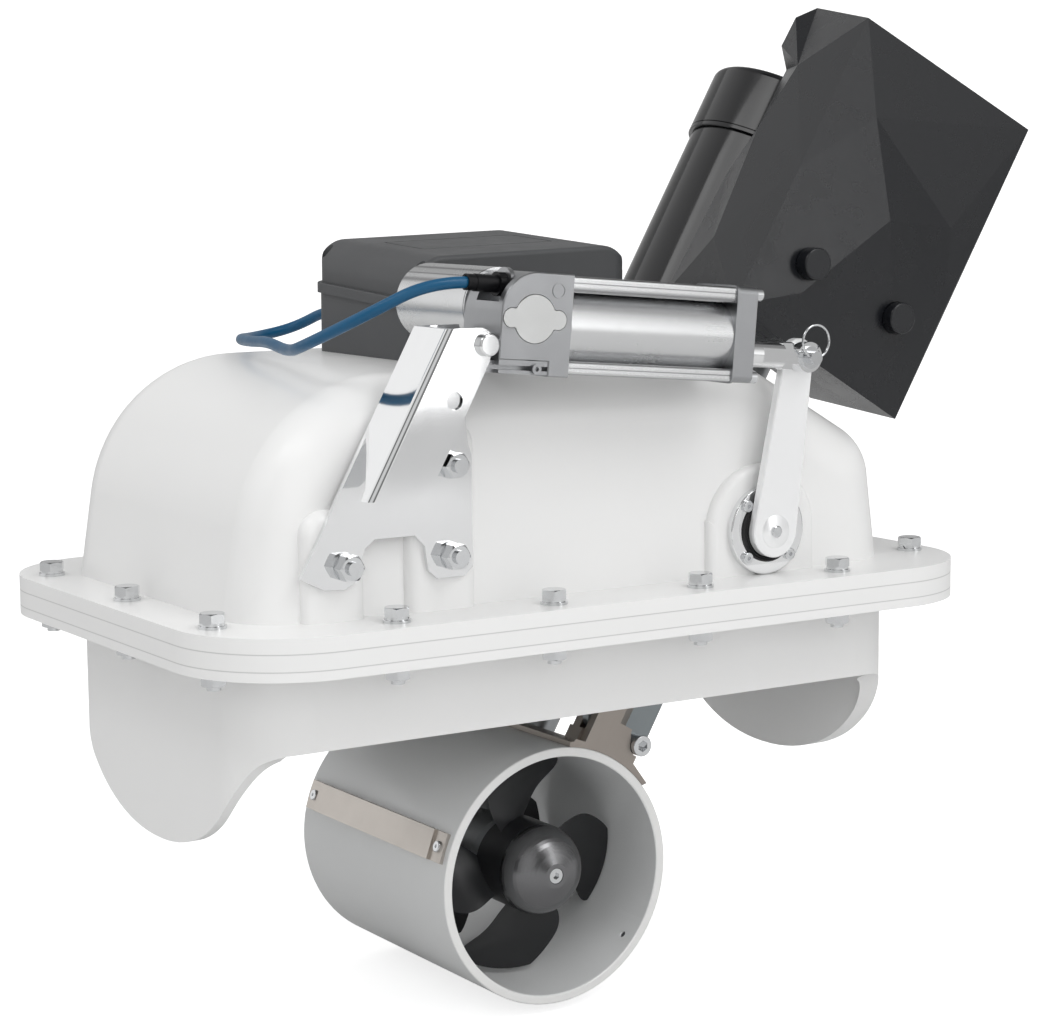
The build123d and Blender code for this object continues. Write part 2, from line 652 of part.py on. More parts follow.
def noseCone(side):
    n = noseTip - hubOut
    prof = [(0, -hubOut)] + [(hubR * cos(radians(a)) ** 0.8, -hubOut - n * sin(radians(a))) for a in range(0, 72, 6)]
    prof += [(9.5, -noseTip), (0, -noseTip)]
    body = turned(prof)
    body = body - rodY(0, 0, -hubOut - 17.5, -hubOut + 1, propShaftR + seat)
    body = body - rodY(0, 0, -noseTip - 1, -noseTip + 4.5, 6.2) - rodY(0, 0, -noseTip - 1, -hubOut, 2.7)
    body = Pos(0, 0, -legLength) * body
    return body if side < 0 else mirror(body, Plane.XZ)


def noseScrew(side):
    body = rodY(0, 0, -noseTip + 0.4, -noseTip + 4.5, 5.8) - hexY(0, 0, -noseTip, -noseTip + 3, 5)
    body = body + rodY(0, 0, -noseTip + 4.4, -noseTip + 22, 2.5 - seat)
    body = Pos(0, 0, -legLength) * body
    return body if side < 0 else mirror(body, Plane.XZ)


gearW0, gearW1 = 124.0, 138.0
drivenR, pinR = 22.0, 26.0
caseTop = motorBase


def driveCase():
    y0, y1 = -36.0, 96.0
    body = Pos(0, (y0 + y1) / 2, slopeFace) * extrude(RectangleRounded(104, y1 - y0, 26), amount=caseTop - slopeFace)
    body = body - (rodZ(0, 0, gearW0 - 5, gearW1 + 5, drivenR + 4) + rodZ(0, offsetY, gearW0 - 5, gearW1 + 5, pinR + 4))
    body = body - rodZ(0, 0, slopeFace - 1, gearW0, 20)
    body = body - rodZ(0, offsetY, gearW1, caseTop + 1, 13)
    body = body + rodZ(0, 0, gearW1 + 1, caseTop - 1, 16) + rodZ(0, 0, slopeFace - 14, gearW0 - 1, 20.5)
    body = body + rodZ(0, offsetY, slopeFace, gearW0 - 1, 16)
    body = body - rodZ(0, 0, slopeFace - 20, gearW1 + 10, 9 + run) - rodZ(0, offsetY, slopeFace + 3, gearW0, 9 + run)
    for u, y in driveScrewSpots():
        body = body - rodZ(u, y, slopeFace - 1, slopeFace + 14, 3.0 + seat)
    for u, y in motorScrewSpots():
        body = body - rodZ(u, y, caseTop - 12, caseTop + 1, 3.0 + seat)
    return body


def driveScrews():
    screws = []
    for u, y in driveScrewSpots():
        w = slopeFace - wall
        s = rodZ(u, y, w - 4, w, 5.2) - hexZ(u, y, w - 5, w - 1.5, 4)
        screws.append(s + rodZ(u, y, w - 0.05, slopeFace + 13, 3.0))
    return group(screws, armFrame)


def motorScrewSpots():
    return [(46 * cos(radians(a)), offsetY + 46 * sin(radians(a))) for a in (0, 55, 125, 180)]


def driveShaft():
    cup = Sphere(ballR + 0.3 + cupWall) - Sphere(ballR + 0.3)
    cup = cup & block(-30, 30, -30, 30, 6.0, 40)
    body = cup + rodZ(0, 0, ballR + 1.5, gearW1 + 8, 9)
    gear = rodZ(0, 0, gearW0, gearW1, drivenR - 0.2)
    for k in range(22):
        gear = gear - Rot(0, 0, 360 / 22 * k) * block(drivenR - 2.2, drivenR + 2, -1.4, 1.4, gearW0 - 1, gearW1 + 1)
    return body + gear


def motorRotor():
    body = rodZ(0, offsetY, gearW0 - 7, motorTop - 22, 9)
    pinion = Pos(0, offsetY, 0) * rodZ(0, 0, gearW0, gearW1, pinR - 0.2)
    for k in range(26):
        pinion = pinion - Pos(0, offsetY, 0) * Rot(0, 0, 360 / 26 * k) * block(pinR - 2.2, pinR + 2, -1.4, 1.4,
                                                                              gearW0 - 1, gearW1 + 1)
    body = body + pinion + rodZ(0, offsetY, motorBase + 24, motorRing - 24, 44)
    return body + rodZ(0, offsetY, motorRing - 10, motorRing + 12, 24)


def motorCan():
    w0 = motorBase
    body = rodZ(0, offsetY, w0, motorRing, motorR) - rodZ(0, offsetY, w0 + 9, motorRing + 1, motorR - 5)
    body = body - rodZ(0, offsetY, w0 - 1, w0 + 10, 9 + run)
    for u, y in motorScrewSpots():
        body = body - rodZ(u, y, w0 - 1, w0 + 10, 3.4)
    # four field poles stand on the inner wall
    for k in range(4):
        ring = rodZ(0, 0, motorBase + 22, motorRing - 22, motorR - 4) - rodZ(0, 0, 0, 400, 46)
        body = body + Pos(0, offsetY, 0) * Rot(0, 0, 90 * k) * (ring & block(14, 80, 14, 80, 0, 400))
    return body


def motorScrews():
    screws = []
    for u, y in motorScrewSpots():
        w = motorBase + 9
        s = rodZ(u, y, w, w + 5, 5.2) + rodZ(u, y, caseTop - 11, w + 0.05, 3.0)
        screws.append(s)
    return group(screws, armFrame)


def motorCap():
    # the joint and the line above it are two thin grooves round the cap
    w0, r, f = motorRing, motorR + capOver, 5.5
    pts = [(0, w0), (motorR - 1.5, w0), (motorR - 1.5, w0 + 0.9), (r - 0.6, w0 + 0.9), (r, w0 + 1.5), (r, w0 + 4.4),
           (r - 1, w0 + 4.8), (r, w0 + 5.2), (r, motorTop - f)]
    pts += [(r - f + f * cos(radians(a)), motorTop - f + f * sin(radians(a))) for a in range(15, 91, 15)]
    pts += [(0, motorTop)]
    body = turnedZ(pts)
    inner = [(0, w0 - 1), (r - 6, w0 - 1), (r - 6, motorTop - 18), (r - 16, motorTop - 7), (0, motorTop - 7)]
    body = body - turnedZ(inner)
    body = body + (rodZ(0, 0, motorTop - 30, motorTop - 6, 15) - rodZ(0, 0, motorTop - 31, motorTop - 14, 9 + run))
    return Pos(0, offsetY, 0) * body


coverFront = [
    # corner and crease points of the front face as (u, y, w)
    (-95.0, -146.0, 141.0), (90.0, -148.0, 137.5), (94.0, -148.0, 402.0), (-93.0, -147.0, 393.0),
    (-93.5, -148.0, 262.5), (-50.0, -151.0, 330.0), (-2.0, -158.0, 265.5), (61.5, -150.0, 293.5),
    (89.5, -149.0, 235.0), (-46.0, -152.0, 178.0)]
coverBack = [
    # rim points of the open back
    (-85.0, -37.0, 152.0), (88.0, -37.0, 146.0), (92.0, -37.0, 414.0), (-68.0, -37.0, 423.0),
    (-83.0, -37.0, 405.0), (-84.0, -37.0, 378.0), (-70.0, -37.0, 364.0), (-71.0, -37.0, 312.0), (-80.0, -37.0, 262.0)]
coverSide = [(-98.0, -92.0, 350.0), (-98.0, -78.0, 292.0), (-99.0, -88.0, 196.0)]


def coverBlank():
    v = coverFront + coverBack + coverSide
    c0, c1, c2, c3, e, d, f, g, h, i = range(10)
    b0, b1, b2, b3, b4, b5, b6, b7, b8 = range(10, 19)
    s0, s1, s2 = 19, 20, 21
    tris = [(c0, i, e), (c0, c1, i), (i, c1, f), (i, f, e), (e, f, d), (e, d, c3), (d, c2, c3), (d, g, c2), (d, f, g),
            (g, h, c2), (f, h, g), (f, c1, h), (h, c1, c2),
            (e, c3, s0), (e, s0, s1), (e, s1, s2), (e, s2, c0), (c3, b3, s0), (b3, b4, s0), (b4, b5, s0), (b5, b6, s0),
            (b6, s1, s0), (b6, b7, s1), (b7, b8, s1), (b8, s2, s1), (b8, b0, s2), (b0, c0, s2),
            (c0, b0, b1), (c0, b1, c1), (c1, b1, b2), (c1, b2, c2), (c2, b2, b3), (c2, b3, c3)]
    faces = [Face(Wire.make_polygon([v[a], v[b], v[c]], close=True)) for a, b, c in tris]
    faces.append(Face(Wire.make_polygon([v[k] for k in (b0, b8, b7, b6, b5, b4, b3, b2, b1)], close=True)))
    return Solid(Shell(faces))


def coverShell():
    body = Part(coverBlank().wrapped)
    inner = plateY([(-80, 158), (84, 154), (86, 390), (-62, 386), (-64, 300)], -141, -39.5)
    mouth = plateY([(-74, 166), (80, 162), (80, 384), (-58, 380), (-60, 300)], -41, -30)
    body = body - inner - mouth
    for u, w in knobSpots:
        body = body - rodY(u, w, -170, -138, 4.2) - rodY(u, w, -170, -151.5, 13.2)
    return body


knobSpots = [(-50.5, 201.0), (45.0, 204.5)]


def coverKnobs():
    knobs = []
    for u, w in knobSpots:
        k = rodY(u, w, -163, -151.5, 12.5)
        k = fillet(k.faces().sort_by(Axis.Y)[0].edges(), 1.5)
        knobs.append(k + rodY(u, w, -152, -120, 4.0))
    return group(knobs, armFrame)


def coverPlate():
    body = plateY([(-73.9, 166.1), (79.9, 162.1), (79.9, 383.9), (-57.9, 379.9), (-59.9, 300)], -39.5, -33.5)
    arm = block(-26, 26, -33.6, offsetY, 190, 300) - rodZ(0, offsetY, 150, 340, motorR + 0.3)
    body = body + (arm - block(-30, 30, 6, 80, 150, 340))
    for u, w in knobSpots:
        body = body + rodY(u, w, -128, -39.4, 7) - rodY(u, w, -130, -118, 4.0 + seat)
    # two switching relays on a common base
    body = body + block(-30, 40, -60, -39.4, 250, 320)
    for u in (-14, 24):
        body = body + rodY(u, 285, -100, -59.9, 16) + rodY(u, 285, -112, -99.9, 5)
    return body


boxLX, boxLY = 192.0, 160.0
boxLid = 46.0
boxTop = 83.0
lidSeat = 56.0
lidShoulder = 24.0


def boxBase():
    body = extrude(RectangleRounded(boxLX, boxLY, 14), amount=boxLid + 20)
    body = Pos(0, 0, -20) * body
    body = boxFrame * body
    cavity = boxFrame * (Pos(0, 0, 8) * extrude(RectangleRounded(boxLX - 6, boxLY - 6, 11), amount=boxLid))
    body = body - cavity - block(-200, 200, -200, 200, 100, domeTop)
    for x, y in boxScrewSpots():
        body = body - rodZ(x, y, domeTop - 5, domeTop + 9, 2.0 + seat)
    for x, y in lidScrewSpots():
        body = body + boxFrame * (rodZ(x, y, 7, boxLid, 4.8) - rodZ(x, y, boxLid - 16, boxLid + 1, 2.0 + seat))
        body = body - boxFrame * rodZ(x, y, boxLid - 16, boxLid + 1, 2.0 + seat)
    body = body - boxFrame * rodY(boxGlandX, 24, boxLY / 2 - 6, boxLY / 2 + 2, 5.6)
    return body


def boxScrews():
    screws = []
    for x, y in boxScrewSpots():
        z = domeTop - wall
        screws.append(rodZ(x, y, z - 3, z, 4.5) + rodZ(x, y, z - 0.05, domeTop + 7, 2.0))
    for x, y in lidScrewSpots():
        s = rodZ(x, y, lidSeat, lidSeat + 3.4, 3.9) - hexZ(x, y, lidSeat + 1.4, lidSeat + 4, 3)
        screws.append(boxFrame * (s + rodZ(x, y, boxLid - 14, lidSeat + 0.05, 2.0)))
    return group(screws)


def boxLidPart():
    rim = Pos(0, 0, boxLid - 3) * extrude(RectangleRounded(boxLX + 5, boxLY + 5, 16), amount=8)
    rim = fillet(rim.faces().sort_by(Axis.Z)[-1].edges(), 1.2)
    h, r = boxLX / 2 - 1, lidShoulder
    z0, z1 = boxLid + 4, boxTop
    edges = [Line((-h, z0), (-h, z1 - r)),
             ThreePointArc((-h, z1 - r), (-h + r * (1 - sqrt(0.5)), z1 - r * (1 - sqrt(0.5))), (-h + r, z1)),
             Line((-h + r, z1), (h - r, z1)),
             ThreePointArc((h - r, z1), (h - r * (1 - sqrt(0.5)), z1 - r * (1 - sqrt(0.5))), (h, z1 - r)),
             Line((h, z1 - r), (h, z0)), Line((h, z0), (-h, z0))]
    crown = extrude(Plane.XZ * make_face(edges), amount=boxLY / 2 - 1, both=True)
    crown = fillet(crown.edges().filter_by(lambda e: abs(abs(e.center().Y) - boxLY / 2 + 1) < 0.1 and e.center().Z > z1 - 1), 3.5)
    crown = crown & Pos(0, 0, z0) * extrude(RectangleRounded(boxLX - 2, boxLY - 2, 13), amount=60)
    frameLine = Pos(0, 4, boxTop - 0.8) * (extrude(RectangleRounded(118, 62, 3), amount=3) - extrude(RectangleRounded(115, 59, 2), amount=3))
    lid = rim + crown - frameLine
    hollow = Pos(0, 0, boxLid - 4) * extrude(RectangleRounded(boxLX - 8, boxLY - 8, 10), amount=20)
    hollow = hollow + Pos(0, 0, boxLid + 10) * extrude(RectangleRounded(boxLX - 58, boxLY - 12, 10), amount=boxTop - boxLid - 13.5)
    groove = Pos(0, 0, boxLid - 4) * (extrude(RectangleRounded(boxLX + 2 * seat, boxLY + 2 * seat, 14 + seat), amount=4))
    lid = lid - hollow - groove
    for x, y in lidScrewSpots():
        lid = lid + rodZ(x, y, boxLid, boxLid + 17, 4.8)
    for x, y in lidScrewSpots():
        lid = lid - rodZ(x, y, boxLid - 5, boxLid + 40, 2.3) - rodZ(x, y, lidSeat, boxTop + 5, 4.3)
    return boxFrame * lid


def lidScrewSpots():
    return [(sx * (boxLX / 2 - 8.0), sy * (boxLY / 2 - 8.0)) for sx in (-1, 1) for sy in (-1, 1)]


boxGlandX = -66.0


def circuitBoard():
    body = block(-78, 78, -64, 60, 14, 16) + block(-60, -30, -40, 0, 16, 28) + block(10, 50, -50, 20, 16, 30)
    for x in (-70, 70):
        for y in (-56, 52):
            body = body + rodZ(x, y, 8.0, 14.1, 4)
    return boxFrame * body


# actuator pieces in the actuator frame
caseX0, caseX1 = 9.5, 67.0
caseTopZ, caseLowZ, caseFootZ = 52.0, -9.5, -20.0
caseRound = 28.0
tubeX1 = 208.5
capX1 = 228.0
nutX0 = 76.0
capLowZ, capTopZ = -18.3, 51.6
tieY, tieZs = 20.0, (46.5, -13.8)
tabX0, tabY, tabZ = 21.5, -5.0, 42.0
tieR = 3.2
caseBack = 24.0
motX, motZ, motR, motEnd = 37.2, 25.6, 28.3, 123.0
badgeX, badgeZ, badgeR, badgeLobe = 36.7, 19.6, 17.0, 6.9


def badgeOutline(y1, gap=0.0):
    # lobed cover in a shallow seat of the case's front
    face = Pos(badgeX, badgeZ) * Circle(badgeR + gap)
    for dx in (-badgeR - 2, badgeR + 2):
        face = face + Pos(badgeX + dx, badgeZ) * Circle(badgeLobe + gap)
        face = face + Pos(badgeX + dx * 0.7, badgeZ) * Rectangle(badgeLobe, 2 * (badgeLobe + gap))
    return Pos(0, y1, 0) * extrude(Plane.XZ * face, amount=2.5 if gap == 0 else 4)


def bearingCover():
    body = badgeOutline(-24)
    return chamfer(body.faces().sort_by(Axis.Y)[0].edges(), 0.3)


def gearCase():
    # front plate and body in one outline, with a big round corner and a foot at its right end
    edges = [Line((caseX0, caseLowZ), (caseX0, caseTopZ - caseRound)),
             ThreePointArc((caseX0, caseTopZ - caseRound),
                           (caseX0 + caseRound * (1 - sqrt(0.5)), caseTopZ - caseRound * (1 - sqrt(0.5))),
                           (caseX0 + caseRound, caseTopZ)),
             Line((caseX0 + caseRound, caseTopZ), (caseX1 + 1, caseTopZ)),
             Line((caseX1 + 1, caseTopZ), (caseX1 + 1, caseFootZ)), Line((caseX1 + 1, caseFootZ), (50, caseFootZ)),
             Line((50, caseFootZ), (50, caseLowZ)), Line((50, caseLowZ), (caseX0, caseLowZ))]
    body = Pos(0, caseBack, 0) * extrude(Plane.XZ * make_face(edges), amount=26 + caseBack)
    front = body.faces().sort_by(Axis.Y)[0].edges()
    body = chamfer(front, 0.8)
    body = body - block(caseX1, caseX1 + 2, -30, 30, -30, 60)
    body = body - rodY(motX, motZ, caseBack - 6, caseBack + 1, motR - 9 + seat)
    eye = rodY(0, 0, -19.6, 17.6, 8.5) + block(0, caseX0 + 1, -14, 12, -8, 8)
    # room for the pivot's nut behind the eye
    body = body + eye - rodY(0, 0, -40, 40, trunR + run) - rodY(0, 0, 18.5, caseBack + 1, 11.5)
    body = body - badgeOutline(-24, 0.35)
    body = body + (rodY(54.8, 40.1, -26.5, -25.9, 5.4) - rodY(54.8, 40.1, -27, -26.1, 4.6))
    # upright tab that holds the cable gland
    body = body - block(0, tabX0, -20, 10, 30, 60)
    body = body + rodX(tabY, tabZ, tabX0, tabX0 + 3.5, 12) + block(tabX0, tabX0 + 3.5, tabY - 12, tabY + 12, 30, tabZ)
    body = body - rodX(tabY, tabZ, tabX0 - 1, tabX0 + 4.5, 6 + seat)
    # rail for the end switches, under the body
    body = body + block(2, 51, -19.5, -8, -19, -10.5) + block(10, 51, -25, -8, -19, caseLowZ + 0.5)
    body = body - block(0, 50, -26, -19, -16.4, -13.2) + rodY(40, -15, -27.5, -18.9, 3.6)
    body = body - hexY(40, -15, -28, -25.5, 3)
    body = body - rodX(0, tubeRise, caseX1 - 12, caseX1 + 1, tubeR - tubeWall - 1)
    for sy in (-1, 1):
        for z in tieZs:
            body = body - rodX(sy * tieY, z, caseX1 - 15, caseX1 + 1, tieR + seat)
    return body


def actTube():
    # drawn profile: a round barrel between two flat rails that carry the tie rods
    section = Circle(tubeR)
    section = Pos(0, tubeRise) * section + Pos(0, 45.2) * RectangleRounded(51, 11.6, 2.2) + Pos(0, -13.2) * RectangleRounded(51, 9.6, 2.2)
    section = section - Pos(0, tubeRise) * Circle(tubeR - tubeWall)
    for sy in (-1, 1):
        for z in tieZs:
            section = section - Pos(sy * tieY, z) * Circle(tieR + seat)
    body = Pos(caseX1, 0, 0) * extrude(Plane.YZ * section, amount=tubeX1 - caseX1)
    return body


def endCap():
    body = block(tubeX1 + 2, capX1, -26.5, 26.5, capLowZ, capTopZ)
    body = fillet(body.edges().filter_by(Axis.X), 5)
    body = chamfer(body.faces().sort_by(Axis.X)[-1].edges(), 0.8)
    lip = block(tubeX1, tubeX1 + 2.2, -27.3, 27.3, capLowZ - 0.8, capTopZ + 0.8)
    body = body + fillet(lip.edges().filter_by(Axis.X), 5.5)
    body = body + rodX(0, rodRise, capX1 - 0.1, capX1 + 6, 14.5)
    body = body - rodX(0, rodRise, tubeX1 - 1, capX1 + 8, rodR + run)
    for sy in (-1, 1):
        for z in tieZs:
            body = body - rodX(sy * tieY, z, tubeX1 - 1, capX1 + 1, tieR + seat)
    return body


def tieRods():
    rods = []
    for sy in (-1, 1):
        for z in tieZs:
            y = sy * tieY
            head = rodX(y, z, capX1, capX1 + 6.5, 4.6)
            head = fillet(head.faces().sort_by(Axis.X)[-1].edges(), 0.6) - hexX(y, z, capX1 + 3, capX1 + 8, 4)
            rods.append(head + rodX(y, z, caseX1 - 13, capX1 + 0.1, tieR))
    return group(rods, actFrame)


def leadScrew():
    body = rodX(0, rodRise, caseX1 - 10, tubeX1 - 2.5, 5)
    return body + rodX(0, rodRise, caseX1 - 11, caseX1 - 1, 7)


def actMotor():
    # lies across, behind the gear case
    body = rodY(motX, motZ, caseBack, motEnd, motR)
    body = fillet(body.faces().sort_by(Axis.Y)[-1].edges(), 2.5)
    ring = rodY(motX, motZ, caseBack + 1.2, caseBack + 2.2, motR + 1) - rodY(motX, motZ, 0, 90, motR - 0.7)
    body = body - ring + rodY(motX, motZ, caseBack - 6, caseBack + 1, motR - 9)
    return body


def actGland():
    y, z = tabY, tabZ
    body = rodX(y, z, tabX0 - 6, tabX0, 8.5)
    for k in range(12):
        body = body - Pos(0, y, z) * Rot(30 * k, 0, 0) * Pos(tabX0 - 3, 0, 8.9) * Box(8, 1.2, 1.4)
    body = body + rodX(y, z, tabX0 - 0.1, tabX0 + 3.4, 6)
    body = body + rodX(y, z, -2, tabX0 - 5.9, 6.2) + rodX(y, z, -9, -1.9, 5.8)
    return body - rodX(y, z, -10, 6, cableR + 0.3)


def sensorRail():
    body = block(caseX0 + 6, tubeX1, -26, -17, -27, -20.2)
    body = body - block(30, tubeX1 + 1, -27, -16, -21.6, -20.0)
    for x in (46, 56):
        body = body + rodY(x, -23.6, -28.5, -25.9, 2.4)
    return body


def pushRod():
    # the drive nut is the thick rear end
    # two flats at the front let the lever swing past
    body = rodX(0, rodRise, nutX0, pinReach - 26, rodR) + rodX(0, rodRise, nutX0, nutX0 + 12, 11)
    flat = leverY0 - trunY - 0.5
    for side in (-1, 1):
        body = body - block(pinReach - 47, pinReach, min(side * flat, side * 20), max(side * flat, side * 20), -20, 30)
    return body - rodX(0, rodRise, nutX0 - 1, tubeX1 + 2, 5 + run)


def rodEye():
    y0, y1 = leverY0 - trunY - 0.5 - 12.0, leverY0 - trunY - 0.5
    body = rodX(0, rodRise, pinReach - 26, pinReach - 16, 10.5)
    body = body + rodX(0, rodRise, pinReach - 17, pinReach - 6, 7.0)
    body = (body & block(200, 320, y0, y1 + 0.0, -20, 30)) + rodY(pinReach, rodRise, y0, y1, 11.5)
    return body - rodY(pinReach, rodRise, y0 - 1, y1 + 1, 5 + seat)


def rodPin():
    y0, y1 = leverY0 - trunY - 12.5, leverY0 - trunY - 0.5
    body = rodY(pinReach, rodRise, y0 - 9, y1, 5)
    body = body + rodY(pinReach, rodRise, y0 - 2.2, y0, 8.5)
    spot = Pos(pinReach, y0 - 6, rodRise + 12.3) * Rot(90, 0, 0)
    body = body - spot * Torus(12.3, 1.1)
    ring = spot * Torus(12.3, 0.9)
    return body, ring


cableR = 4.2


def cableRoute():
    # from the actuator's gland, down past the box's left side and round to the gland behind it
    start = (actFrame * Location((-8.4, -5.0, 42.0))).position
    second = (actFrame * Location((-34.0, -5.0, 42.0))).position
    turn = (boxFrame * Location((boxGlandX, boxLY / 2 + 31.0, 24))).position
    last = (boxFrame * Location((boxGlandX, boxLY / 2 + 1.0, 24))).position
    return [tuple(start), tuple(second), (-205.4, -175.3, 210.3), (-227.4, -123.0, 187.8), (-215.4, -67.2, 180.4),
            (-203.7, -10.3, 184.0), (-190.4, 44.7, 180.4), (-173.6, 101.4, 178.3), (-127.3, 166.6, 173.0),
            (-84.2, 162.8, 180.0), tuple(turn), tuple(last)]


def cable():
    pts = cableRoute()
    radii = []
    for k in range(1, len(pts) - 1):
        a, b, c = Vector(*pts[k - 1]), Vector(*pts[k]), Vector(*pts[k + 1])
        turn = radians((b - a).get_angle(c - b))
        radii.append(0.45 * min((b - a).length, (c - b).length) / tan(turn / 2))
    print("cable arc radii", [round(r, 1) for r in radii])
    start = Vector(*pts[0])
    path = []
    for k in range(1, len(pts) - 1):
        a, b, c = Vector(*pts[k - 1]), Vector(*pts[k]), Vector(*pts[k + 1])
        d0, d1 = (b - a).normalized(), (c - b).normalized()
        cut = radii[k - 1] * tan(radians(d0.get_angle(d1)) / 2)
        p0, p1 = b - d0 * cut, b + d1 * cut
        path.append(Line(start, p0))
        path.append(TangentArc(p0, p1, tangent=d0))
        start = p1
    path.append(Line(start, Vector(*pts[-1])))
    wire = Wire([e.edge() if hasattr(e, "edge") else e for e in path])
    length = wire.length
    d = (Vector(*pts[1]) - Vector(*pts[0])).normalized()
    section = Plane(origin=pts[0], z_dir=d) * Circle(cableR)
    body = sweep(section, path=wire)
    print("cable length", round(length, 1), "volume ratio", round(body.volume / (pi * cableR ** 2 * length), 4))
    return body


def boxGland():
    y = boxLY / 2
    body = hexY(boxGlandX, 24, y, y + 5, 15) + rodY(boxGlandX, 24, y - 5, y + 0.1, 5.5)
    body = body + rodY(boxGlandX, 24, y + 4.9, y + 14, 6.4)
    body = body - rodY(boxGlandX, 24, y - 1, y + 20, cableR + 0.15)
    return boxFrame * body


def main():
    save("housing_dome", housingDome())
    save("seal_frame", sealFrame())
    save("hull_trunk", hullTrunk())
    bolts, washers, locks, nuts = flangeHardware()
    save("flange_bolts", bolts)
    save("flange_lock_washers", locks)
    save("actuator_bracket", actuatorBracket())
    studs, bnuts, bwash = bracketHardware()
    save("bracket_studs", studs)
    save("hex_nuts", group([nuts, bnuts]))
    save("plain_washers", group([washers, bwash]))
    save("bracket_pivot", pivotBolt())
    save("shaft_bearings", group([bearing(-1), bearing(1)]))
    save("shaft_seals", group([shaftSeal(-1), shaftSeal(1)]))
    save("bearing_screws", bearingScrews())
    save("crank_lever", crankLever())
    save("crank_shafts", group([crankShaft(-1), crankShaft(1)]))
    save("lever_bolt", leverBolt())
    save("arm_plates", group([armFrame * armPlate(-1), armFrame * armPlate(1)]))
    save("arm_saddle", armFrame * armSaddle())
    save("arm_bridge", armFrame * armBridge())
    save("arm_bolts", group([saddleBolts(), bridgeScrews()]))
    save("thruster_tunnel", armFrame * thrusterTunnel())
    save("door_strips", group([armFrame * doorStrip(-1), armFrame * doorStrip(1)]))
    save("strip_screws", stripScrews())
    save("gear_leg", armFrame * gearLeg())
    save("leg_bushes", legBushes())
    save("leg_shaft", armFrame * legShaft())
    for side, tag in ((-1, "near"), (1, "far")):
        save("prop_shaft_" + tag, armFrame * propShaft(side))
        save("propeller_" + tag, armFrame * propeller(side))
        save("nose_cone_" + tag, armFrame * noseCone(side))
        save("nose_screw_" + tag, armFrame * noseScrew(side))
    save("drive_case", armFrame * driveCase())
    save("drive_screws", group([driveScrews(), motorScrews()]))
    save("drive_shaft", armFrame * driveShaft())
    save("motor_rotor", armFrame * motorRotor())
    save("motor_can", armFrame * motorCan())
    save("motor_cap", armFrame * motorCap())
    save("cover_shell", armFrame * coverShell())
    save("cover_knobs", coverKnobs())
    save("cover_plate", armFrame * coverPlate())
    save("box_base", boxBase())
    save("box_lid", boxLidPart())
    save("box_screws", boxScrews())
    save("circuit_board", circuitBoard())
    save("box_gland", boxGland())
    save("actuator_case", actFrame * gearCase())
    save("actuator_cover", actFrame * bearingCover())
    save("actuator_tube", actFrame * actTube())
    save("actuator_end_cap", actFrame * endCap())
    save("actuator_tie_rods", tieRods())
    save("lead_screw", actFrame * leadScrew())
    save("actuator_motor", actFrame * actMotor())
    save("actuator_gland", actFrame * actGland())
    save("push_rod", actFrame * pushRod())
    save("rod_eye", actFrame * rodEye())
    save("rod_pin", group(rodPin(), actFrame))
    save("cable", cable())


main()
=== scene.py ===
import bmesh
import bpy
import json
import numpy as np
from math import cos, pi, radians, sin
from mathutils import Euler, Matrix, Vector


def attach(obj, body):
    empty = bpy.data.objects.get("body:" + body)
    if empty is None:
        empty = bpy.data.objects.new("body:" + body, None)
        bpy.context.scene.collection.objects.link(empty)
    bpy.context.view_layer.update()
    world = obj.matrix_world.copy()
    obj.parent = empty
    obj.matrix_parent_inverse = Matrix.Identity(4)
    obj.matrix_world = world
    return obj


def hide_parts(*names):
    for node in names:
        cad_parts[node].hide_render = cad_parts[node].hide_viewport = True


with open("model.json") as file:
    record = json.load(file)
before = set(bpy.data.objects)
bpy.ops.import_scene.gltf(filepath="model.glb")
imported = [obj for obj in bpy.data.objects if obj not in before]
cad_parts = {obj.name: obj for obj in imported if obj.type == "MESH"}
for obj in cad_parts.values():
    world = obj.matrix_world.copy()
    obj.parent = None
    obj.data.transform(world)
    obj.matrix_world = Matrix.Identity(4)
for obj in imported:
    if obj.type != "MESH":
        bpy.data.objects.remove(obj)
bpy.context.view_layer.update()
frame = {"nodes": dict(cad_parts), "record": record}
nodes = frame["nodes"]
print("frame loaded:", len(nodes), "nodes")

# the arm frame: u across the leg, w up along it, both in the XZ plane
armFrame = {"pivot": (0.141, 0.0, 0.034), "tiltDeg": 30.28, "legLength": 302.5}
tilt = radians(armFrame["tiltDeg"])


def armPoint(u, y, w):
    # millimetres in the arm frame to metres in the row frame
    px, py, pz = armFrame["pivot"]
    x = px + (u * cos(tilt) + w * sin(tilt)) / 1000
    z = pz + (-u * sin(tilt) + w * cos(tilt)) / 1000
    return Vector((x, py + y / 1000, z))


# the socket types of the shader groups, and the noises that they use
number, triple = "NodeSocketFloat", "NodeSocketVector"
noiseKinds = {"broad": {"Detail": 3.0, "Roughness": 0.45}, "fine": {"Detail": 5.0, "Roughness": 0.6},
              "grain": {"Detail": 2.0, "Roughness": 0.5}, "brushed": {"Detail": 4.0, "Roughness": 0.65}}
smudges = {"fineTimes": 5.3, "From Min": 0.35, "From Max": 0.7}


def newGroup(name, inputs, outputs):
    # inputs: name -> (socket type, default); outputs: name -> socket type
    group = bpy.data.node_groups.new(name, "ShaderNodeTree")
    for label, (kind, value) in inputs.items():
        socket = group.interface.new_socket(name=label, in_out="INPUT", socket_type=kind)
        socket.default_value = value
    for label, kind in outputs.items():
        group.interface.new_socket(name=label, in_out="OUTPUT", socket_type=kind)
    return group, group.nodes.new("NodeGroupInput"), group.nodes.new("NodeGroupOutput")


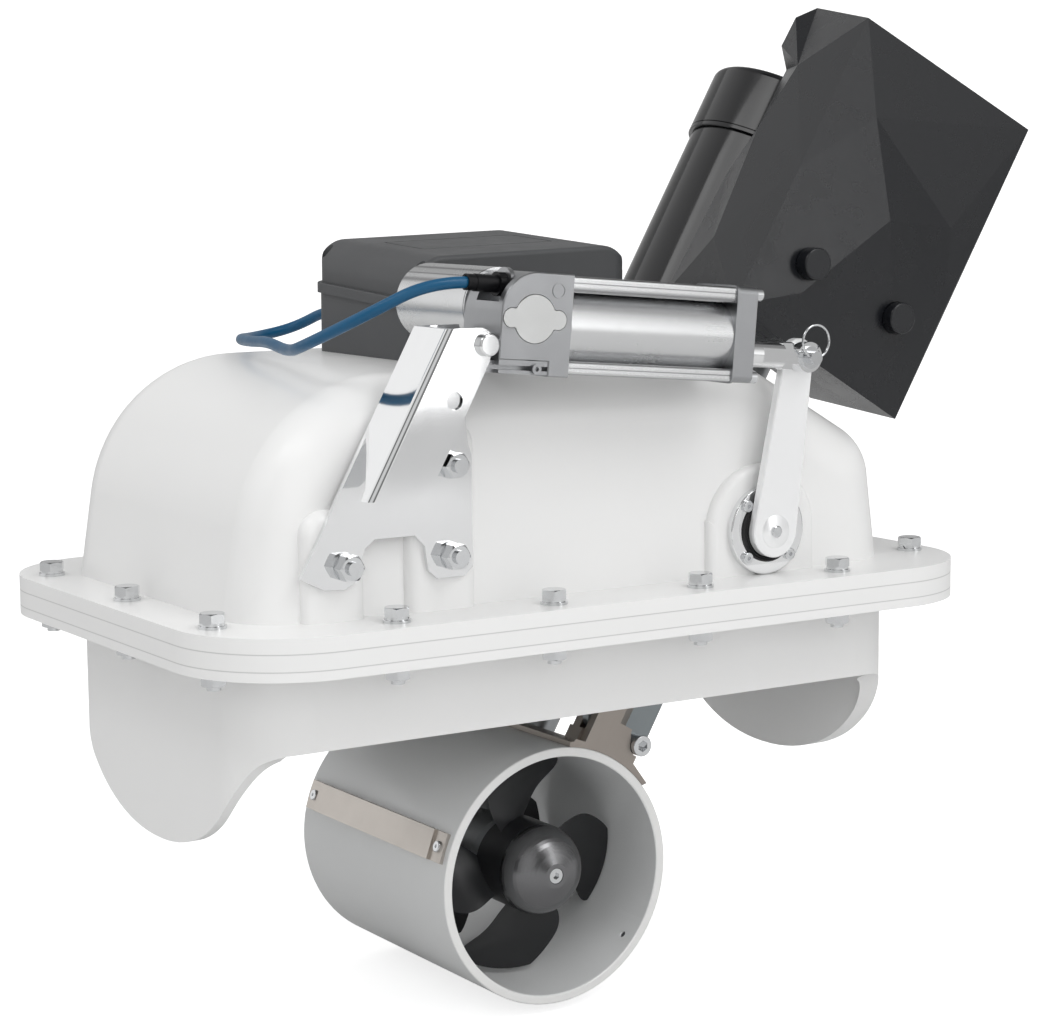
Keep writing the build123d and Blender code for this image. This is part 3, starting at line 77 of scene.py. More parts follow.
def mathNode(tree, operation, a, b=None, c=None):
    node = tree.nodes.new("ShaderNodeMath")
    node.operation = operation
    for k, value in enumerate((a, b, c)):
        if value is None:
            continue
        if isinstance(value, (int, float)):
            node.inputs[k].default_value = value
        else:
            tree.links.new(value, node.inputs[k])
    return node.outputs[0]


def vectorNode(tree, operation, a, b=None):
    node = tree.nodes.new("ShaderNodeVectorMath")
    node.operation = operation
    tree.links.new(a, node.inputs[0])
    if b is not None:
        tree.links.new(b, node.inputs[1])
    return node.outputs["Value" if operation in ("LENGTH", "DOT_PRODUCT") else "Vector"]


def addNoise(tree, kind, vector, scale):
    noise = tree.nodes.new("ShaderNodeTexNoise")
    for label, value in noiseKinds[kind].items():
        noise.inputs[label].default_value = value
    tree.links.new(vector, noise.inputs["Vector"])
    tree.links.new(scale, noise.inputs["Scale"])
    return noise.outputs["Fac"]


def colourMix(tree, factor, a, b, blend="MIX"):
    # factor, a and b are each a socket or a plain value
    node = tree.nodes.new("ShaderNodeMix")
    node.data_type = "RGBA"
    node.blend_type = blend
    for label, value in (("Factor", factor), ("A", a), ("B", b)):
        if isinstance(value, bpy.types.NodeSocket):
            tree.links.new(value, node.inputs[label])
        else:
            node.inputs[label].default_value = value
    return node.outputs["Result"]


def objectCoords(tree):
    return tree.nodes.new("ShaderNodeTexCoord").outputs["Object"]


def makeToneGroup():
    # slow drift of the tone over a surface, and finer smudges
    group, gin, gout = newGroup("surfaceTone", {"Scale": (number, 4.0), "Amount": (number, 0.05)},
                                {"Shade": number, "Smudge": number})
    coords = objectCoords(group)
    broad = addNoise(group, "broad", coords, gin.outputs["Scale"])
    swing = mathNode(group, "MULTIPLY", mathNode(group, "SUBTRACT", broad, 0.5), gin.outputs["Amount"])
    shade = mathNode(group, "ADD", mathNode(group, "MULTIPLY", swing, 2.0), 1.0)
    group.links.new(shade, gout.inputs["Shade"])
    fineScale = mathNode(group, "MULTIPLY", gin.outputs["Scale"], smudges["fineTimes"])
    ramp = group.nodes.new("ShaderNodeMapRange")
    for label in ("From Min", "From Max"):
        ramp.inputs[label].default_value = smudges[label]
    group.links.new(addNoise(group, "fine", coords, fineScale), ramp.inputs["Value"])
    group.links.new(ramp.outputs["Result"], gout.inputs["Smudge"])
    return group


def makeGrainGroup():
    # the fine texture of a moulding or a sprayed coat, as a height
    group, gin, gout = newGroup("fineGrain", {"Scale": (number, 900.0)}, {"Height": number})
    grain = addNoise(group, "grain", objectCoords(group), gin.outputs["Scale"])
    group.links.new(grain, gout.inputs["Height"])
    return group


def makeBrushGroup():
    # long thin scratches: the noise is squeezed across them, after a turn to their direction
    group, gin, gout = newGroup("brushLines", {"Stretch": (triple, (1.0, 1.0, 1.0)),
                                               "Turn": (triple, (0.0, 0.0, 0.0)),
                                               "Scale": (number, 60.0)}, {"Lines": number})
    turn = group.nodes.new("ShaderNodeMapping")
    group.links.new(objectCoords(group), turn.inputs["Vector"])
    group.links.new(gin.outputs["Turn"], turn.inputs["Rotation"])
    stretched = vectorNode(group, "MULTIPLY", turn.outputs["Vector"], gin.outputs["Stretch"])
    lines = addNoise(group, "brushed", stretched, gin.outputs["Scale"])
    group.links.new(lines, gout.inputs["Lines"])
    return group


def makeRingGroup():
    # lathe marks: rings by the distance from an axis through a centre
    group, gin, gout = newGroup("latheRings", {"Centre": (triple, (0.0, 0.0, 0.0)),
                                               "Across": (triple, (1.0, 0.0, 1.0)),
                                               "Pitch": (number, 0.0012)}, {"Rings": number})
    away = vectorNode(group, "SUBTRACT", objectCoords(group), gin.outputs["Centre"])
    radius = vectorNode(group, "LENGTH", vectorNode(group, "MULTIPLY", away, gin.outputs["Across"]))
    count = mathNode(group, "DIVIDE", radius, gin.outputs["Pitch"])
    wave = mathNode(group, "SINE", mathNode(group, "MULTIPLY", count, 2 * pi))
    group.links.new(mathNode(group, "MULTIPLY_ADD", wave, 0.5, 0.5), gout.inputs["Rings"])
    return group


def makeMarkGroup():
    # a line at one place along an axis: a seam, a line of painted shade or a band of painted light, or with
    # Fold at 1 both end faces
    group, gin, gout = newGroup("markLine", {"Axis": (triple, (0.0, 0.0, 1.0)), "At": (number, 0.0),
                                             "Half": (number, 0.0004), "Fold": (number, 0.0)},
                                {"Line": number})
    place = vectorNode(group, "DOT_PRODUCT", objectCoords(group), gin.outputs["Axis"])
    folded = mathNode(group, "SUBTRACT", mathNode(group, "ABSOLUTE", place), place)
    place = mathNode(group, "ADD", place, mathNode(group, "MULTIPLY", folded, gin.outputs["Fold"]))
    gap = mathNode(group, "ABSOLUTE", mathNode(group, "SUBTRACT", place, gin.outputs["At"]))
    soft = group.nodes.new("ShaderNodeMapRange")
    soft.interpolation_type = "SMOOTHSTEP"
    soft.inputs["To Min"].default_value = 1.0
    soft.inputs["To Max"].default_value = 0.0
    group.links.new(gap, soft.inputs["Value"])
    group.links.new(gin.outputs["Half"], soft.inputs["From Max"])
    group.links.new(soft.outputs["Result"], gout.inputs["Line"])
    return group


toneGroup, grainGroup = makeToneGroup(), makeGrainGroup()
brushGroup, ringGroup = makeBrushGroup(), makeRingGroup()
markGroup = makeMarkGroup()
print("shader groups made")


def placeGroup(tree, group, values):
    node = tree.nodes.new("ShaderNodeGroup")
    node.node_tree = group
    for label, value in values.items():
        node.inputs[label].default_value = value
    return node


# what a finish has where its own row says nothing
plainLook = {"toneScale": 5.0, "tone": 0.04, "smudge": 0.25, "turn": (0.0, 0.0, 0.0), "brushTone": 0.2,
             "marks": (), "roughVary": 0.05, "metal": 0.0, "coat": 0.0, "coatRough": 0.08, "level": 0.5,
             "bumpStrength": 0.6}
# how much darker the second colour is, and what a brushed finish's roughness follows
secondShade = 0.9
roughShares = {"smudge": 0.4, "lines": 0.6}


def makeFinish(name, row):
    # one finish: colour drift, roughness drift, and grain, brushing or lathe rings as bump
    look = {**plainLook, **row}
    material = bpy.data.materials.new(name)
    material.use_nodes = True
    tree = material.node_tree
    shader = tree.nodes["Principled BSDF"]
    tone = placeGroup(tree, toneGroup, {"Scale": look["toneScale"], "Amount": look["tone"]})
    smudge = tone.outputs["Smudge"]
    heights = []
    if "grain" in look:
        grain = placeGroup(tree, grainGroup, {"Scale": look["grain"]})
        heights.append((grain.outputs["Height"], look["grainDepth"]))
    brushed = None
    if "stretch" in look:
        scratches = placeGroup(tree, brushGroup, {"Stretch": look["stretch"], "Turn": look["turn"],
                                                  "Scale": look["brushScale"]})
        brushed = scratches.outputs["Lines"]
        heights.append((brushed, look["brushDepth"]))
    if "rings" in look:
        rings = placeGroup(tree, ringGroup, look["rings"])
        heights.append((rings.outputs["Rings"], look["ringDepth"]))
    # colour: the base, pulled towards the second colour where smudged or brushed, and shaded by the drift
    second = look.get("second", tuple(c * secondShade for c in look["colour"]))
    amount = mathNode(tree, "MULTIPLY", smudge, look["smudge"])
    if brushed is not None:
        amount = mathNode(tree, "ADD", amount, mathNode(tree, "MULTIPLY", brushed, look["brushTone"]))
    colour = colourMix(tree, amount, (*look["colour"], 1), (*second, 1))
    colour = colourMix(tree, 1.0, colour, tone.outputs["Shade"], "MULTIPLY")
    # the marks: seams, painted shade along the actuator's rails, and painted light on the tunnel's cut faces
    for mark in look["marks"]:
        line = placeGroup(tree, markGroup, mark["line"])
        strength = mathNode(tree, "MULTIPLY", line.outputs["Line"], mark["amount"])
        colour = colourMix(tree, strength, colour, (*mark["tint"], 1))
    tree.links.new(colour, shader.inputs["Base Color"])
    rough = tree.nodes.new("ShaderNodeMapRange")
    rough.inputs["To Min"].default_value = look["rough"] - look["roughVary"]
    rough.inputs["To Max"].default_value = look["rough"] + look["roughVary"]
    source = smudge
    if brushed is not None:
        lines = mathNode(tree, "MULTIPLY", brushed, roughShares["lines"])
        source = mathNode(tree, "MULTIPLY_ADD", smudge, roughShares["smudge"], lines)
    tree.links.new(source, rough.inputs["Value"])
    tree.links.new(rough.outputs["Result"], shader.inputs["Roughness"])
    shader.inputs["Metallic"].default_value = look["metal"]
    shader.inputs["Coat Weight"].default_value = look["coat"]
    shader.inputs["Coat Roughness"].default_value = look["coatRough"]
    shader.inputs["Specular IOR Level"].default_value = look["level"]
    last = None
    for height, depth in heights:
        bump = tree.nodes.new("ShaderNodeBump")
        bump.inputs["Strength"].default_value = look["bumpStrength"]
        bump.inputs["Distance"].default_value = depth
        tree.links.new(height, bump.inputs["Height"])
        if last is not None:
            tree.links.new(last, bump.inputs["Normal"])
        last = bump.outputs["Normal"]
    if last is not None:
        tree.links.new(last, shader.inputs["Normal"])
    return material


def lineMark(at, half, amount, tint, axis=(0, 0, 1), fold=0.0):
    # what the markLine group needs, in metres, with the line's colour and its strength
    return {"line": {"Axis": axis, "At": at, "Half": half, "Fold": fold}, "tint": tint, "amount": amount}


tunnelAxis = armPoint(0, 0, -armFrame["legLength"])
# the actuator lies nose down from its pivot. Thin dark lines of painted shade run along it and edge the two
# rails of its tube,
# where shade falls beside the rails: each one's height over the pivot, its half width and its strength
actuatorFrame = {"pivot": (-0.133, -0.194, 0.190), "downDeg": 5.2}
railShadeEdges = ((0.0505, 0.0012, 0.8), (0.0462, 0.0008, 0.7), (0.0415, 0.0030, 0.75), (-0.0095, 0.0014, 0.7),
             (-0.0132, 0.0008, 0.7), (-0.0178, 0.0010, 0.7))
# the tints of the painted shade along the rails, of the seams, and of the painted light on the tunnel's cut
# faces
railShadeTint, seamTint, cutFaceLightTint = (0.16, 0.16, 0.165), (0.30, 0.30, 0.30), (0.80, 0.80, 0.79)
actuatorDown = radians(actuatorFrame["downDeg"])
railUp = (sin(actuatorDown), 0.0, cos(actuatorDown))
railBase = railUp[0] * actuatorFrame["pivot"][0] + railUp[2] * actuatorFrame["pivot"][2]
railShadeLines = [lineMark(railBase + rise, half, amount, railShadeTint, axis=railUp)
             for rise, half, amount in railShadeEdges]
# the two seams between the dome's flange, the frame and the trunk's flange, and painted light: the tunnel's
# cut faces painted paler, as if lit
seamHeights = (-0.011, -0.023)
seams = [lineMark(at, half=0.0007, amount=0.55, tint=seamTint) for at in seamHeights]
tunnelEnd = 0.1125
paintedLitCutFaces = [lineMark(tunnelEnd, half=0.0009, amount=1.0, tint=cutFaceLightTint, axis=(0, 1, 0), fold=1.0)]
finishes = {
    "housingPaint": {"colour": (0.84, 0.84, 0.835), "second": (0.80, 0.80, 0.79), "rough": 0.34,
                     "roughVary": 0.03, "coat": 0.15, "coatRough": 0.2, "tone": 0.006, "toneScale": 2.5,
                     "smudge": 0.10, "grain": 1400.0, "grainDepth": 0.00002, "bumpStrength": 0.3,
                     "marks": seams},
    "frameMoulding": {"colour": (0.83, 0.83, 0.825), "second": (0.79, 0.79, 0.78), "rough": 0.38,
                      "roughVary": 0.03, "tone": 0.008, "smudge": 0.12, "grain": 1500.0,
                      "grainDepth": 0.00003, "marks": seams},
    "plainSteel": {"colour": (0.70, 0.71, 0.72), "second": (0.58, 0.59, 0.60), "rough": 0.10,
                   "roughVary": 0.03, "metal": 1.0, "tone": 0.03, "toneScale": 30.0, "smudge": 0.3,
                   "grain": 2500.0, "grainDepth": 0.000006},
    "mirrorSteel": {"colour": (0.84, 0.845, 0.85), "second": (0.76, 0.765, 0.77), "rough": 0.07,
                    "roughVary": 0.02, "metal": 1.0, "tone": 0.01, "toneScale": 9.0, "smudge": 0.15,
                    "stretch": (1.0, 1.0, 14.0), "brushScale": 45.0, "brushDepth": 0.000001,
                    "brushTone": 0.04},
    "leverSteel": {"colour": (0.93, 0.935, 0.94), "second": (0.88, 0.885, 0.89), "rough": 0.22,
                   "roughVary": 0.02, "metal": 0.45, "tone": 0.01, "smudge": 0.1, "grain": 1500.0,
                   "grainDepth": 0.000004},
    "sealRubber": {"colour": (0.012, 0.012, 0.013), "rough": 0.5, "level": 0.35, "grain": 2000.0,
                   "grainDepth": 0.00004},
    "castAlloy": {"colour": (0.34, 0.35, 0.36), "rough": 0.38, "metal": 1.0, "tone": 0.04,
                  "grain": 1300.0, "grainDepth": 0.00005},
    "motorPaint": {"colour": (0.006, 0.006, 0.007), "second": (0.010, 0.010, 0.011), "rough": 0.13,
                   "roughVary": 0.03, "level": 0.35, "coat": 0.35, "coatRough": 0.06, "tone": 0.05,
                   "grain": 700.0, "grainDepth": 0.00001},
    "coverMoulding": {"colour": (0.0060, 0.0068, 0.0088), "second": (0.0075, 0.0083, 0.0103),
                      "rough": 0.27, "roughVary": 0.03, "level": 0.5, "tone": 0.02, "smudge": 0.1,
                      "grain": 1700.0, "grainDepth": 0.00004},
    "boxMoulding": {"colour": (0.072, 0.074, 0.077), "second": (0.084, 0.086, 0.089), "rough": 0.46,
                    "roughVary": 0.04, "level": 0.35, "tone": 0.03, "grain": 1500.0,
                    "grainDepth": 0.00005},
    "boardResin": {"colour": (0.02, 0.12, 0.05), "rough": 0.3, "grain": 900.0, "grainDepth": 0.00002},
    "blackMoulding": {"colour": (0.005, 0.005, 0.006), "rough": 0.38, "level": 0.2, "grain": 1800.0,
                      "grainDepth": 0.00003},
    "cableSheath": {"colour": (0.007, 0.088, 0.19), "second": (0.006, 0.075, 0.165), "rough": 0.34,
                    "roughVary": 0.04, "level": 0.35, "tone": 0.04, "toneScale": 20.0, "grain": 1600.0,
                    "grainDepth": 0.00003},
    "armPlate": {"colour": (0.26, 0.285, 0.295), "second": (0.21, 0.23, 0.24), "rough": 0.32,
                 "roughVary": 0.05, "metal": 1.0, "tone": 0.03, "stretch": (18.0, 18.0, 1.0),
                 "turn": (0.0, -tilt, 0.0), "brushScale": 55.0, "brushDepth": 0.000008},
    "saddlePlate": {"colour": (0.36, 0.325, 0.295), "second": (0.30, 0.27, 0.245), "rough": 0.36,
                    "roughVary": 0.05, "metal": 1.0, "tone": 0.03, "stretch": (18.0, 18.0, 1.0),
                    "turn": (0.0, -tilt, 0.0), "brushScale": 45.0, "brushDepth": 0.00001},
    # the tunnel's cut faces carry painted light: a paler tint, as if lit
    "tunnelComposite": {"colour": (0.76, 0.77, 0.77), "second": (0.73, 0.74, 0.74), "rough": 0.32,
                        "roughVary": 0.04, "coat": 0.2, "coatRough": 0.15, "tone": 0.012,
                        "toneScale": 2.5, "smudge": 0.15, "grain": 1400.0, "grainDepth": 0.00002,
                        "bumpStrength": 0.3, "marks": paintedLitCutFaces},
    "stripSteel": {"colour": (0.58, 0.54, 0.50), "second": (0.50, 0.465, 0.43), "rough": 0.34,
                   "roughVary": 0.05, "metal": 1.0, "tone": 0.02, "stretch": (60.0, 1.0, 60.0),
                   "brushScale": 12.0, "brushDepth": 0.000004, "brushTone": 0.15},
    "bushBronze": {"colour": (0.48, 0.32, 0.13), "rough": 0.32, "metal": 1.0, "grain": 1500.0,
                   "grainDepth": 0.00003},
    "propellerMoulding": {"colour": (0.012, 0.0125, 0.014), "second": (0.018, 0.0185, 0.02),
                          "rough": 0.30, "roughVary": 0.01, "level": 0.5, "tone": 0.01,
                          "toneScale": 6.0, "smudge": 0.08, "grain": 1500.0, "grainDepth": 0.000008},
    "noseAlloy": {"colour": (0.20, 0.20, 0.205), "second": (0.18, 0.18, 0.185), "rough": 0.25,
                  "roughVary": 0.01, "metal": 1.0, "tone": 0.005, "smudge": 0.05,
                  "rings": {"Centre": tunnelAxis, "Across": (1.0, 0.0, 1.0), "Pitch": 0.0009},
                  "ringDepth": 0.000003},
    "actuatorAlloy": {"colour": (0.37, 0.375, 0.385), "second": (0.33, 0.335, 0.345), "rough": 0.34,
                      "roughVary": 0.04, "metal": 1.0, "tone": 0.02, "grain": 1400.0,
                      "grainDepth": 0.00003},
    "actuatorBadge": {"colour": (0.60, 0.605, 0.60), "second": (0.55, 0.555, 0.55), "rough": 0.36,
                      "roughVary": 0.03, "metal": 1.0, "tone": 0.02, "grain": 1800.0,
                      "grainDepth": 0.00002},
    # the tube's marks are painted shade along the edges of its rails
    "actuatorTube": {"colour": (0.68, 0.685, 0.69), "second": (0.61, 0.615, 0.62), "rough": 0.27,
                     "roughVary": 0.03, "metal": 1.0, "tone": 0.01, "stretch": (1.0, 16.0, 16.0),
                     "brushScale": 50.0, "brushDepth": 0.000002, "turn": (0.0, -actuatorDown, 0.0),
                     "brushTone": 0.08, "marks": railShadeLines},
}
materials = {name: makeFinish(name, look) for name, look in finishes.items()}
print("finishes made:", len(materials))

# which finish each CAD material slot gets
slotFinish = {"housing_white": "housingPaint", "frame_white": "frameMoulding", "stainless": "plainSteel",
              "polished_steel": "mirrorSteel", "seal_rubber": "sealRubber", "alloy_castings": "castAlloy",
              "motor_black": "motorPaint", "cover_plastic": "coverMoulding", "box_plastic": "boxMoulding",
              "board_resin": "boardResin", "black_plastic": "blackMoulding", "cable_blue": "cableSheath",
              "arm_steel": "armPlate", "saddle_bronze": "saddlePlate", "tunnel_composite": "tunnelComposite",
              "strip_steel": "stripSteel", "bush_bronze": "bushBronze", "nose_alloy": "noseAlloy",
              "propeller_plastic": "propellerMoulding", "actuator_alloy": "actuatorAlloy",
              "actuator_badge": "actuatorBadge", "actuator_tube": "actuatorTube"}


def dressNode(name, slotName):
    part = nodes[name]
    part.data.materials.clear()
    part.data.materials.append(materials[slotFinish[slotName]])


for row in frame["record"]["subparts"]:
    dressNode(row["node"], row["material_slot"])
nodes["crank_lever"].data.materials[0] = materials["leverSteel"]
print("CAD pieces dressed")

# turned pieces on the crank's axis: each profile is radius and place along Y, millimetres
crankAxis = (141.0, 34.0)
turnedMesh = {"segments": 72, "mergeWithin": 1e-6, "sharpDeg": 35}
leverButton = {"node": "lever_bolt", "finish": "plainSteel", "body": "swing_arm", "slot": "stainless",
               "profile": [(0, -188.0), (3.7, -188.0), (4.4, -187.4), (4.4, -186.1), (0, -186.1)]}
leverFace = {"node": None, "finish": "leverSteel", "body": "swing_arm", "slot": "stainless",
             "profile": [(0, -185.9), (12.3, -185.9), (12.6, -185.7), (12.6, -185.2), (0, -185.2)]}
sealLip = {"node": None, "finish": "sealRubber", "body": "housing", "slot": "seal_rubber",
           "profile": [(18.4, -175.6), (18.4, -177.0), (19.4, -177.9), (20.2, -177.0), (21.2, -177.8),
                       (22.0, -177.0), (23.0, -177.7), (24.2, -176.8), (24.2, -175.6), (18.4, -175.6)]}


def makeTurned(name, spec):
    # a profile swept round the crank's axis: x = cx + r cos a, z = cz + r sin a, y as the profile says
    profile = np.array(spec["profile"], float)
    turns = np.linspace(0, 2 * pi, turnedMesh["segments"], endpoint=False)
    grid = np.empty((len(profile), len(turns), 3))
    grid[..., 0] = crankAxis[0] + profile[:, :1] * np.cos(turns)
    grid[..., 1] = profile[:, 1:]
    grid[..., 2] = crankAxis[1] + profile[:, :1] * np.sin(turns)
    index = np.arange(len(profile) * len(turns)).reshape(len(profile), -1)
    after = np.roll(index, -1, 1)
    quads = np.stack([index[:-1], after[:-1], after[1:], index[1:]], -1).reshape(-1, 4)
    mesh = bpy.data.meshes.new(name)
    mesh.from_pydata((grid.reshape(-1, 3) / 1000).tolist(), [], quads.tolist())
    work = bmesh.new()
    work.from_mesh(mesh)
    bmesh.ops.remove_doubles(work, verts=work.verts, dist=turnedMesh["mergeWithin"])
    bmesh.ops.dissolve_degenerate(work, edges=work.edges, dist=turnedMesh["mergeWithin"])
    bmesh.ops.recalc_face_normals(work, faces=work.faces)
    work.to_mesh(mesh)
    work.free()
    mesh.polygons.foreach_set("use_smooth", np.ones(len(mesh.polygons), bool))
    mesh.set_sharp_from_angle(angle=radians(turnedMesh["sharpDeg"]))
    piece = bpy.data.objects.new(name, mesh)
    bpy.context.scene.collection.objects.link(piece)
    mesh.materials.append(materials[spec["finish"]])
    if spec["node"]:
        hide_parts(spec["node"])
    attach(piece, spec["body"])


for name, spec in (("leverButton", leverButton), ("leverFace", leverFace), ("sealLip", sealLip)):
    makeTurned(name, spec)
print("turned pieces made")

# camera, fitted to the flange bolts and the tunnel
view = {"place": (-1.0992, -1.8038, 0.3256), "yawDeg": 32.097, "pitchDeg": -7.712, "rollDeg": -0.56,
        "lens": 93.21, "sensor": 36.0, "clipEnd": 60}
lens = bpy.data.cameras.new("photoLens")
lens.lens = view["lens"]
lens.sensor_width = view["sensor"]
lens.clip_end = view["clipEnd"]
camera = bpy.data.objects.new("photoCamera", lens)
bpy.context.scene.collection.objects.link(camera)
camera.location = view["place"]
yaw, pitch = radians(view["yawDeg"]), radians(view["pitchDeg"])
ahead = Vector((sin(yaw) * cos(pitch), cos(yaw) * cos(pitch), sin(pitch)))
rolled = Euler((0, 0, radians(view["rollDeg"]))).to_quaternion()
camera.rotation_mode = "QUATERNION"
camera.rotation_quaternion = ahead.to_track_quat("-Z", "Y") @ rolled
bpy.context.scene.camera = camera
print("camera placed")

# floor that sweeps up into a wall: a profile of floor, quarter turn and wall, carried across
studio = {"floor": -0.335, "near": -4.0, "far": 5.0, "bend": 2.5, "height": 6.0, "half": 9.0,
          "floorRows": 12, "bendRows": 24, "wallRows": 7, "columns": 9, "glow": 0.72,
          "paper": {"Base Color": (0.68, 0.68, 0.68, 1), "Roughness": 0.9, "Specular IOR Level": 0.1,
                    "Emission Color": (1, 1, 1, 1)}}


def makeSweep(name, spec):
    along = spec["near"] + (spec["far"] - spec["near"]) * np.linspace(0, 1, spec["floorRows"])
    floorPart = np.stack([along, np.zeros(len(along))], 1)
    angle = np.linspace(0, pi / 2, spec["bendRows"])[1:]
    bend = np.stack([spec["far"] + spec["bend"] * np.sin(angle), spec["bend"] * (1 - np.cos(angle))], 1)
    rise = np.linspace(spec["bend"], spec["height"], spec["wallRows"])[1:]
    wallPart = np.stack([np.full(len(rise), spec["far"] + spec["bend"]), rise], 1)
    profile = np.concatenate([floorPart, bend, wallPart])
    across = np.linspace(-spec["half"], spec["half"], spec["columns"])
    rows, columns = len(profile), len(across)
    grid = np.zeros((rows, columns, 3))
    grid[..., 0] = across[None, :]
    grid[..., 1] = profile[:, None, 0]
    grid[..., 2] = profile[:, None, 1] + spec["floor"]
    # the sweep faces the camera: turned by the camera's yaw about the vertical
    c, s = cos(yaw), sin(yaw)
    x, y = grid[..., 0].copy(), grid[..., 1].copy()
    grid[..., 0] = x * c + y * s
    grid[..., 1] = -x * s + y * c
    index = np.arange(rows * columns).reshape(rows, columns)
    quads = np.stack([index[:-1, :-1], index[:-1, 1:], index[1:, 1:], index[1:, :-1]], -1).reshape(-1, 4)
    mesh = bpy.data.meshes.new(name)
    mesh.from_pydata(grid.reshape(-1, 3).tolist(), [], quads.tolist())
    mesh.polygons.foreach_set("use_smooth", np.ones(len(quads), bool))
    sweep = bpy.data.objects.new(name, mesh)
    bpy.context.scene.collection.objects.link(sweep)
    return sweep


floor = makeSweep("floorSweep", studio)
paper = bpy.data.materials.new("palePaper")
paper.use_nodes = True
sheet = paper.node_tree.nodes["Principled BSDF"]
for label, value in studio["paper"].items():
    sheet.inputs[label].default_value = value
# the paper glows a little to the camera alone: it is white there but doesn't flood the polished pieces
seen = paper.node_tree.nodes.new("ShaderNodeLightPath")
glow = mathNode(paper.node_tree, "MULTIPLY", seen.outputs["Is Camera Ray"], studio["glow"])
paper.node_tree.links.new(glow, sheet.inputs["Emission Strength"])
floor.data.materials.append(paper)

# soft lights: where each stands, what it looks at, its size and power, and whether polished pieces mirror it
lights = {
    "keyPanel": {"place": (0.9, -2.6, 3.0), "aim": (0, 0, 0), "size": (1.6, 1.6), "power": 30,
                 "mirrored": True},
    "frontPanel": {"place": (-1.4, -3.4, 1.2), "aim": (0, 0, 0), "size": (2.6, 1.6), "power": 23,
                   "mirrored": False},
    "topPanel": {"place": (0.4, 0.2, 3.2), "aim": (0, 0, 0), "size": (2.6, 2.6), "power": 10,
                 "mirrored": False},
    "leftPanel": {"place": (-1.9, -0.6, 2.5), "aim": (0.1, 0, 0.3), "size": (2.2, 0.7), "power": 13,
                  "mirrored": True},
    "rightStrip": {"place": (1.4, -2.9, 1.0), "aim": (0, 0, 0.15), "size": (0.16, 2.4), "power": 4,
                   "mirrored": True},
}


def addPanel(name, spec):
    data = bpy.data.lights.new(name, "AREA")
    data.shape = "RECTANGLE"
    data.size, data.size_y = spec["size"]
    data.energy = spec["power"]
    lamp = bpy.data.objects.new(name, data)
    bpy.context.scene.collection.objects.link(lamp)
    lamp.location = spec["place"]
    lamp.visible_glossy = spec["mirrored"]
    lamp.rotation_mode = "QUATERNION"
    lamp.rotation_quaternion = (Vector(spec["aim"]) - Vector(spec["place"])).to_track_quat("-Z", "Y")


for name, spec in lights.items():
    addPanel(name, spec)

# surrounding light: even for matt surfaces, and bright and dark bands for polished ones. The stops of matt
# and upward run from straight down at 0 to straight up at 1, those of around in degrees from the camera
air = {"matt": [(0.0, 0.42), (0.5, 0.54), (1.0, 0.84)],
       "around": [(-180, 0.45), (-152, 0.55), (-138, 1.0), (-76, 1.0), (-60, 0.9), (-51, 0.10),
                  (-37, 0.10), (-27, 0.6), (0, 0.75), (20, 0.6), (29, 0.14), (43, 0.16), (52, 1.0),
                  (60, 1.6), (68, 1.3), (75, 0.9), (84, 0.55), (98, 0.45), (112, 0.3), (180, 0.45)],
       "upward": [(0.0, 0.3), (0.4, 0.45), (0.5, 0.95), (0.56, 1.0), (0.72, 1.0), (0.84, 0.85),
                  (0.94, 0.4), (1.0, 0.35)]}
world = bpy.data.worlds.new("studioAir")
bpy.context.scene.world = world
world.use_nodes = True
skyTree = world.node_tree


def addRamp(tree, fac, stops):
    ramp = tree.nodes.new("ShaderNodeValToRGB")
    while len(ramp.color_ramp.elements) < len(stops):
        ramp.color_ramp.elements.new(0.5)
    for element, (place, value) in zip(ramp.color_ramp.elements, stops):
        element.position = place
        element.color = (value, value, value, 1)
    tree.links.new(fac, ramp.inputs[0])
    return ramp.outputs["Color"]


skyCoords = skyTree.nodes.new("ShaderNodeTexCoord")
split = skyTree.nodes.new("ShaderNodeSeparateXYZ")
skyTree.links.new(skyCoords.outputs["Generated"], split.inputs[0])


def levelShare(a, b):
    # a times the direction's X plus b times its Y
    first = mathNode(skyTree, "MULTIPLY", split.outputs["X"], a)
    return mathNode(skyTree, "ADD", first, mathNode(skyTree, "MULTIPLY", split.outputs["Y"], b))


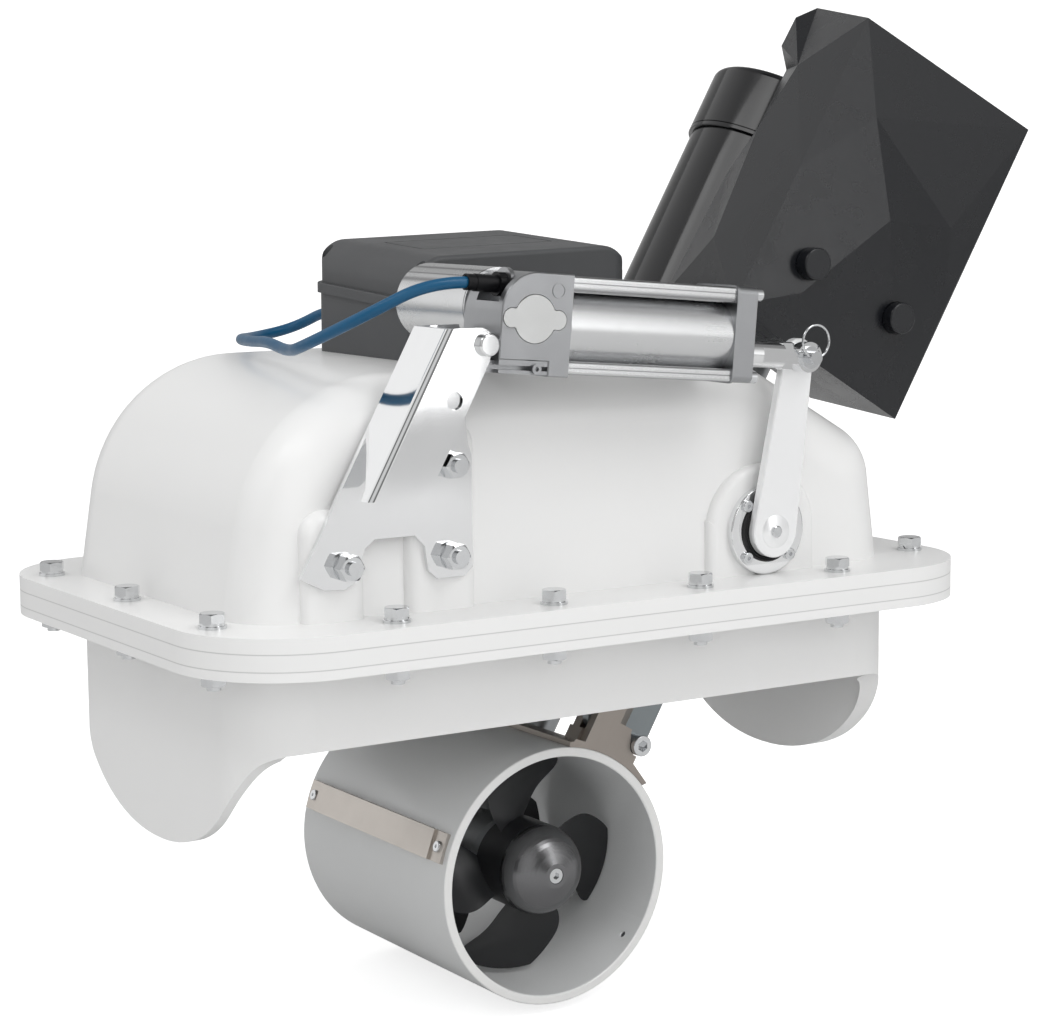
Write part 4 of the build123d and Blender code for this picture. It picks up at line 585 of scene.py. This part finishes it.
# the direction's angle around the vertical, from the camera's side towards the picture's right
towards = levelShare(-sin(yaw), -cos(yaw))
beside = levelShare(cos(yaw), -sin(yaw))
around = mathNode(skyTree, "MULTIPLY_ADD", mathNode(skyTree, "ARCTAN2", beside, towards), 0.5 / pi, 0.5)
upward = mathNode(skyTree, "MULTIPLY_ADD", split.outputs["Z"], 0.5, 0.5)
aroundStops = [((degrees + 180) / 360, value) for degrees, value in air["around"]]
bands = colourMix(skyTree, 1.0, addRamp(skyTree, around, aroundStops),
                  addRamp(skyTree, upward, air["upward"]), "MULTIPLY")
rayKind = skyTree.nodes.new("ShaderNodeLightPath")
chosen = colourMix(skyTree, rayKind.outputs["Is Glossy Ray"], addRamp(skyTree, upward, air["matt"]), bands)
# the camera itself sees plain white beyond the paper
plain = colourMix(skyTree, rayKind.outputs["Is Camera Ray"], chosen, (1, 1, 1, 1))
skyTree.links.new(plain, skyTree.nodes["Background"].inputs["Color"])
bpy.context.scene.view_settings.view_transform = "Standard"
bpy.context.scene.view_settings.look = "None"
print("studio set")

# the cable's route, millimetres, and how finely its tube is drawn
cable = {"radius": 4.2, "order": 3, "alongSteps": 24, "roundSteps": 6,
         "points": [(-127.2, -199.0, 231.6), (-163.05, -199.0, 234.91), (-205.4, -175.3, 210.3),
                    (-226.4, -124.0, 187.8), (-210.4, -72.2, 180.4), (-198.2, -15.8, 184.0),
                    (-184.9, 39.2, 180.4), (-168.1, 95.9, 178.3), (-122.8, 161.1, 174.0),
                    (-84.2, 162.8, 180.0), (-68.57, 129.53, 196.73), (-68.57, 99.58, 195.01)]}


def makeCable(name, spec):
    curve = bpy.data.curves.new(name, "CURVE")
    curve.dimensions = "3D"
    spline = curve.splines.new("NURBS")
    spline.points.add(len(spec["points"]) - 1)
    for point, place in zip(spline.points, spec["points"]):
        point.co = (*(c / 1000 for c in place), 1)
    spline.order_u = spec["order"]
    spline.use_endpoint_u = True
    curve.resolution_u = spec["alongSteps"]
    curve.bevel_depth = spec["radius"] / 1000
    curve.bevel_resolution = spec["roundSteps"]
    curve.use_fill_caps = True
    piece = bpy.data.objects.new(name, curve)
    bpy.context.scene.collection.objects.link(piece)
    curve.materials.append(materials["cableSheath"])
    return piece


blueCable = makeCable("blueCable", cable)
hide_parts("cable")
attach(blueCable, "housing")
print("cable laid")
